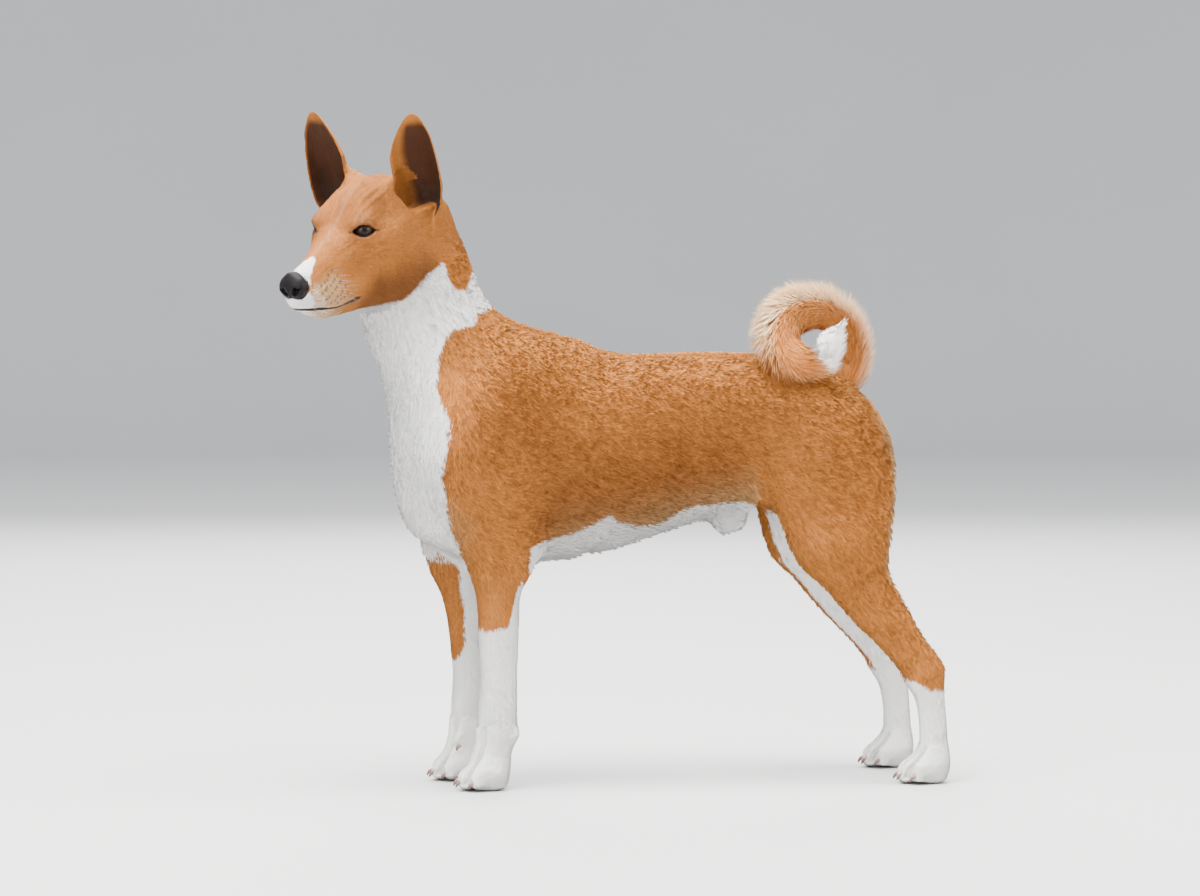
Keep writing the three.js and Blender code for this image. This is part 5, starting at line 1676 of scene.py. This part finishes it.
def build_claw(node_name):
    """One claw in place of its solid: curved, deeper than wide, blunt at its tip."""
    solid = NODES[node_name]
    points = np.array([solid.matrix_world @ v.co for v in solid.data.vertices])
    middle = points.mean(axis=0)
    axis = np.linalg.svd(points - middle)[2][0]
    along = (points - middle) @ axis
    off = np.linalg.norm((points - middle) - along[:, None] * axis, axis=1)
    span = along.max() - along.min()
    if off[along < along.min() + span * 0.3].mean() < off[along > along.max() - span * 0.3].mean():
        along, axis = -along, -axis
    base = Vector(points[along < along.min() + span * 0.25].mean(axis=0))
    tip = Vector(points[along.argmax()])
    way = (tip - base) * CLAW_SHARE
    side = way.cross(Vector((0, 0, 1))).normalized()
    over = side.cross(way).normalized()
    if over.z < 0:
        over = -over
    rings = []
    for i in range(CLAW_RINGS):
        t = i / (CLAW_RINGS - 1)
        centre = base + way * t + over * (0.0013 * math.sin(math.pi * t) - 0.0012 * t * t)
        wide = CLAW_WIDE * (1 - 0.62 * t**1.7)
        deep = CLAW_DEEP * (1 - 0.62 * t**1.9)
        ring = []
        for k in range(CLAW_SIDES):
            a = 2 * math.pi * k / CLAW_SIDES
            ring.append(centre + side * (wide * math.cos(a)) + over * (deep * math.sin(a)))
        rings.append(ring)
    claw = piece_from(node_name.replace("claw_", "nail_"), *loft(rings))
    outward(claw)
    attribute(claw.data, "reach", "FLOAT", np.repeat(np.linspace(0, 1, CLAW_RINGS), CLAW_SIDES))
    return finished(claw)


def claw_material():
    """Horn that darkens to its tip, with streaks along its length."""
    made, tree, shader = material("claw horn", Roughness=0.38, Specular_IOR_Level=0.45)
    height = grain_bump(tree, shader, 0.25, 0.0002, Scale=500.0, Stretch=(0.3, 1.0, 1.0))
    streak = maths(tree, "MULTIPLY", height, 0.3)
    share = maths(tree, "ADD", stored(tree, "reach"), streak, clamp=True)
    colour_between(tree, shader, share, (0.4, 0.25, 0.19), (0.09, 0.055, 0.042))
    return made


# ---------------------------------------------------------------- whiskers

WHISKER_RADIUS = 0.00008


def thin_hair(path, radius):
    """A closed hair of three sides along a path, thin at its end."""
    rings = []
    last = len(path) - 1
    for i, p in enumerate(path):
        along = (path[min(i + 1, last)] - path[max(i - 1, 0)]).normalized()
        side = along.cross(Vector((0.1, 0.2, 1))).normalized()
        up = along.cross(side)
        size = radius * (1 - 0.85 * i / last)
        rings.append([p + (side * math.cos(t) + up * math.sin(t)) * size for t in (0, 2.094, 4.189)])
    return loft(rings)


def build_whiskers(tree):
    """Fine whiskers in rows on the upper lip."""
    rng = np.random.default_rng(SEED + 6)
    turn = HEAD_TURN.to_3x3()
    points, faces = [], []
    for sign in SIDES:
        for x, z in whisker_places():
            found = ray(tree, HEAD @ Vector((x, 60 * sign, z)), turn @ Vector((0, -sign, 0)))
            if not found:
                continue
            root, normal = found
            back = Vector((-0.55, 0.25 * sign, -0.28 + rng.uniform(-0.2, 0.1)))
            way = (normal * 0.75 + (turn @ back).normalized()).normalized()
            long = rng.uniform(8, 20) * MM
            bend = (turn @ Vector((-0.4, 0, -0.5))).normalized()
            steps = np.linspace(-0.05, 1, 7)
            path = [root + way * (long * t) + bend * (long * 0.25 * t * t) for t in steps]
            hair, shape = thin_hair(path, WHISKER_RADIUS)
            faces += [tuple(i + len(points) for i in face) for face in shape]
            points += hair
    whiskers = piece_from("whiskers", points, faces)
    outward(whiskers)
    return smooth_shaded(whiskers)


def whisker_material():
    """Stiff pale hair, darker in places."""
    made, tree, shader = material("whisker", Roughness=0.5)
    tone = on_object(tree, "ShaderNodeTexNoise", Scale=60.0)
    colour_between(tree, shader, tone.outputs[0], (0.25, 0.17, 0.12), (0.75, 0.68, 0.6))
    return made


# ---------------------------------------------------------------- stage

CAMERA_TURN = -11.0  # degrees to the dog's front
CAMERA_HEIGHT = 2.5  # degrees above the floor
CAMERA_AWAY = 4.0
CAMERA_AIM = Vector((-0.0037, 0.0197, 0.315))
CAMERA_LENS = 127.68
FLOOR_RADIUS = 7.0
FLOOR_RISE = 2.5  # the rim's radius, m
RIM_STEPS = 8


def build_camera():
    """The camera at the side of the dog, a little to its front."""
    a, e = math.radians(CAMERA_TURN), math.radians(CAMERA_HEIGHT)
    back = Vector((math.sin(a) * math.cos(e), -math.cos(a) * math.cos(e), math.sin(e)))
    data = bpy.data.cameras.new("camera")
    data.lens = CAMERA_LENS
    data.sensor_width = 36
    data.clip_end = 100
    camera = linked("camera", data)
    camera.location = CAMERA_AIM + back * CAMERA_AWAY
    camera.rotation_euler = (-back).to_track_quat("-Z", "Y").to_euler()
    bpy.context.scene.camera = camera


def build_floor():
    """A pale round floor whose rim rises all round it."""
    bpy.ops.object.select_all(action="DESELECT")
    bpy.ops.mesh.primitive_circle_add(vertices=96, radius=FLOOR_RADIUS, fill_type="NGON")
    floor = bpy.context.object
    floor.name = "floor"
    bpy.ops.object.mode_set(mode="EDIT")
    bpy.ops.mesh.select_all(action="SELECT")
    bpy.ops.mesh.select_mode(type="EDGE")
    bpy.ops.mesh.region_to_loop()
    angles = [k * math.pi / (2 * RIM_STEPS) for k in range(RIM_STEPS + 1)]
    for last, angle in zip(angles, angles[1:]):
        widths = [FLOOR_RADIUS + FLOOR_RISE * math.sin(a) for a in (last, angle)]
        grow = widths[1] / widths[0]
        bpy.ops.mesh.extrude_region_move()
        bpy.ops.transform.resize(value=(grow, grow, 1))
        up = FLOOR_RISE * (math.cos(last) - math.cos(angle))
        bpy.ops.transform.translate(value=(0, 0, up))
    bpy.ops.mesh.extrude_region_move()
    bpy.ops.transform.translate(value=(0, 0, 4))
    bpy.ops.object.mode_set(mode="OBJECT")
    bpy.ops.object.shade_smooth()
    made, tree, shader = material("studio floor", Roughness=0.9)
    tone = on_object(tree, "ShaderNodeTexNoise", Scale=1.3)
    colour_between(tree, shader, tone.outputs[0], (0.4, 0.4, 0.395), (0.43, 0.43, 0.425))
    floor.data.materials.append(made)


LIGHTS = [  # name, place in m, size in m, power in W, colour
    ("sky", (-0.3, -0.5, 3.2), 2.6, 760, (1.0, 0.985, 0.96)),
    ("front_fill", (-2.4, -2.9, 1.4), 2.2, 170, (0.985, 0.99, 1.0)),
    ("rear_fill", (3.0, -1.2, 1.6), 1.8, 130, (1.0, 0.98, 0.95)),
    ("far_fill", (0.4, 3.0, 2.2), 2.4, 250, (1.0, 1.0, 1.0)),
]


def build_lights():
    """Large soft lights over and round the dog, and an even pale surround."""
    for name, place_at, size, power, colour in LIGHTS:
        data = bpy.data.lights.new(name, "AREA")
        data.size = size
        data.energy = power
        data.color = colour
        light = linked(name, data)
        light.location = place_at
        aim = Vector((0, 0, 0.3)) - Vector(place_at)
        light.rotation_euler = aim.to_track_quat("-Z", "Y").to_euler()
    world = bpy.data.worlds.new("surround")
    bpy.context.scene.world = world
    world.use_nodes = True
    surround = world.node_tree.nodes["Background"]
    surround.inputs[0].default_value = (0.9, 0.93, 1.0, 1)
    surround.inputs[1].default_value = 1.9


# ---------------------------------------------------------------- add-on


class DogCoat(bpy.types.PropertyGroup):
    """Colours and density of the coat."""

    deep_red: bpy.props.FloatVectorProperty(
        name="Deep red", description="Darkest tone of the red coat", subtype="COLOR",
        size=3, min=0, max=1, default=(0.24, 0.074, 0.013))
    light_red: bpy.props.FloatVectorProperty(
        name="Light red", description="Lightest tone of the red coat", subtype="COLOR",
        size=3, min=0, max=1, default=(0.68, 0.245, 0.047))
    white: bpy.props.FloatVectorProperty(
        name="White", description="The white markings", subtype="COLOR",
        size=3, min=0, max=1, default=(0.9, 0.885, 0.86))
    cream: bpy.props.FloatVectorProperty(
        name="Cream", description="Pale fringe of the tail and the backs of the thighs",
        subtype="COLOR", size=3, min=0, max=1, default=(0.96, 0.75, 0.4))
    # the dark colour also carries painted shade: belly, lower cheeks, ear cups, toe grooves and eye
    # sockets
    dark: bpy.props.FloatVectorProperty(
        name="Dark", description="Rims of the eyes, lips and pads", subtype="COLOR",
        size=3, min=0, max=1, default=(0.018, 0.011, 0.009))
    bare: bpy.props.FloatVectorProperty(
        name="Bare", description="Thinly haired skin inside the ears", subtype="COLOR",
        size=3, min=0, max=1, default=(0.052, 0.017, 0.006))
    cover: bpy.props.FloatProperty(
        name="Cover", description="Layers of tufts over each place", min=0.2, max=5, default=COVER)
    fringe: bpy.props.IntProperty(
        name="Fringe locks", description="Locks in the tail's long coat",
        min=500, max=22000, default=20000)


def rides(item, slot, *nodes):
    """Puts a piece on the still body and hides the solids it stands for. The slot is not used."""
    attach(item, "root")
    if nodes:
        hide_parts(*nodes)


class DOG_OT_stage(bpy.types.Operator):
    """Adds the camera, the pale floor and the soft lights"""

    bl_idname = "dog.stage"
    bl_label = "Stage"

    def execute(self, context):
        build_camera()
        build_floor()
        build_lights()
        return {"FINISHED"}


UV_ANGLE = math.radians(66)  # sharper bends than this part the OFBake map


class DOG_OT_skin(bpy.types.Operator):
    """Grows one skin over the solids of flesh"""

    bl_idname = "dog.skin"
    bl_label = "Skin"

    def execute(self, context):
        skin = build_skin()
        source = solid_flesh("region_source")
        region = nearest_regions(positions(skin.data), source)
        bpy.data.objects.remove(source)
        mark_skin(skin, region)
        edited(skin, bpy.ops.uv.smart_project, angle_limit=UV_ANGLE, island_margin=0.001)
        skin.data.uv_layers[0].name = "OFBake"
        smooth_shaded(skin)
        skin.data.materials.append(coat_material("skin", 0.45, 0.4, 0.5))
        rides(skin, "red_coat", *FLESH, *TAIL)
        return {"FINISHED"}


class DOG_OT_coat(bpy.types.Operator):
    """Covers the skin with short tufts and the tail with its fringe"""

    bl_idname = "dog.coat"
    bl_label = "Coat"

    def execute(self, context):
        skin = bpy.data.objects["skin"]
        look = context.scene.dog_coat
        cover = look.cover * 1
        hair = coat_material("coat", 0.55, 0.36, upright=True)
        for item in short_coat(skin, cover):
            item.data.materials.append(hair)
            rides(item, "red_coat")
        fringe = tail_fringe(skin, look.fringe)
        fringe.data.materials.append(coat_material("fringe", 0.5, 0.14))
        rides(fringe, "cream_coat")
        return {"FINISHED"}


class DOG_OT_eyes(bpy.types.Operator):
    """Sets both eyes between their lids"""

    bl_idname = "dog.eyes"
    bl_label = "Eyes"

    def execute(self, context):
        tree = surface_tree(bpy.data.objects["skin"])
        wet = eye_material()
        rim = coat_material("lids", 0.2, 0.2, 0.3)
        for sign, side in SIDES.items():
            eye = build_eye(sign)
            eye.data.materials.append(wet)
            rides(eye, "eye", "eye_" + side)
            lids = build_lids(sign, tree)
            lids.data.materials.append(rim)
            rides(lids, "red_coat")
        return {"FINISHED"}


class DOG_OT_face(bpy.types.Operator):
    """Adds the nose leather, the lips and the whiskers"""

    bl_idname = "dog.face"
    bl_label = "Nose, lips and whiskers"

    def execute(self, context):
        tree = surface_tree(bpy.data.objects["skin"])
        nose = build_nose()
        nose.data.materials.append(nose_material())
        rides(nose, "nose", "nose")
        lips = build_lips(tree)
        lips.data.materials.append(lip_material())
        rides(lips, "nose")
        whiskers = build_whiskers(tree)
        whiskers.data.materials.append(whisker_material())
        rides(whiskers, "white_coat")
        return {"FINISHED"}


class DOG_OT_claws(bpy.types.Operator):
    """Rounds every claw"""

    bl_idname = "dog.claws"
    bl_label = "Claws"

    def execute(self, context):
        horn = claw_material()
        for name in CLAWS:
            claw = build_claw(name)
            claw.data.materials.append(horn)
            rides(claw, "claw", name)
        return {"FINISHED"}


class DOG_PT_panel(bpy.types.Panel):
    """The dog's steps, in the order they are run"""

    bl_label = "Dog"
    bl_idname = "DOG_PT_panel"
    bl_space_type = "VIEW_3D"
    bl_region_type = "UI"
    bl_category = "Dog"

    def draw(self, context):
        for name in STEPS:
            self.layout.operator(f"dog.{name}")
        look = context.scene.dog_coat
        for name in (*COAT_COLOURS, "cover", "fringe"):
            self.layout.prop(look, name)


STEPS = ["stage", "skin", "eyes", "face", "claws", "coat"]
CLASSES = [DogCoat, DOG_OT_stage, DOG_OT_skin, DOG_OT_eyes, DOG_OT_face, DOG_OT_claws, DOG_OT_coat,
           DOG_PT_panel]


def register():
    for item in CLASSES:
        bpy.utils.register_class(item)
    bpy.types.Scene.dog_coat = bpy.props.PointerProperty(type=DogCoat)


def unregister():
    del bpy.types.Scene.dog_coat
    for item in reversed(CLASSES):
        bpy.utils.unregister_class(item)


def main():
    """Runs every step in order."""
    register()
    for name in STEPS:
        getattr(bpy.ops.dog, name)()


if __name__ == "__main__":
    main()
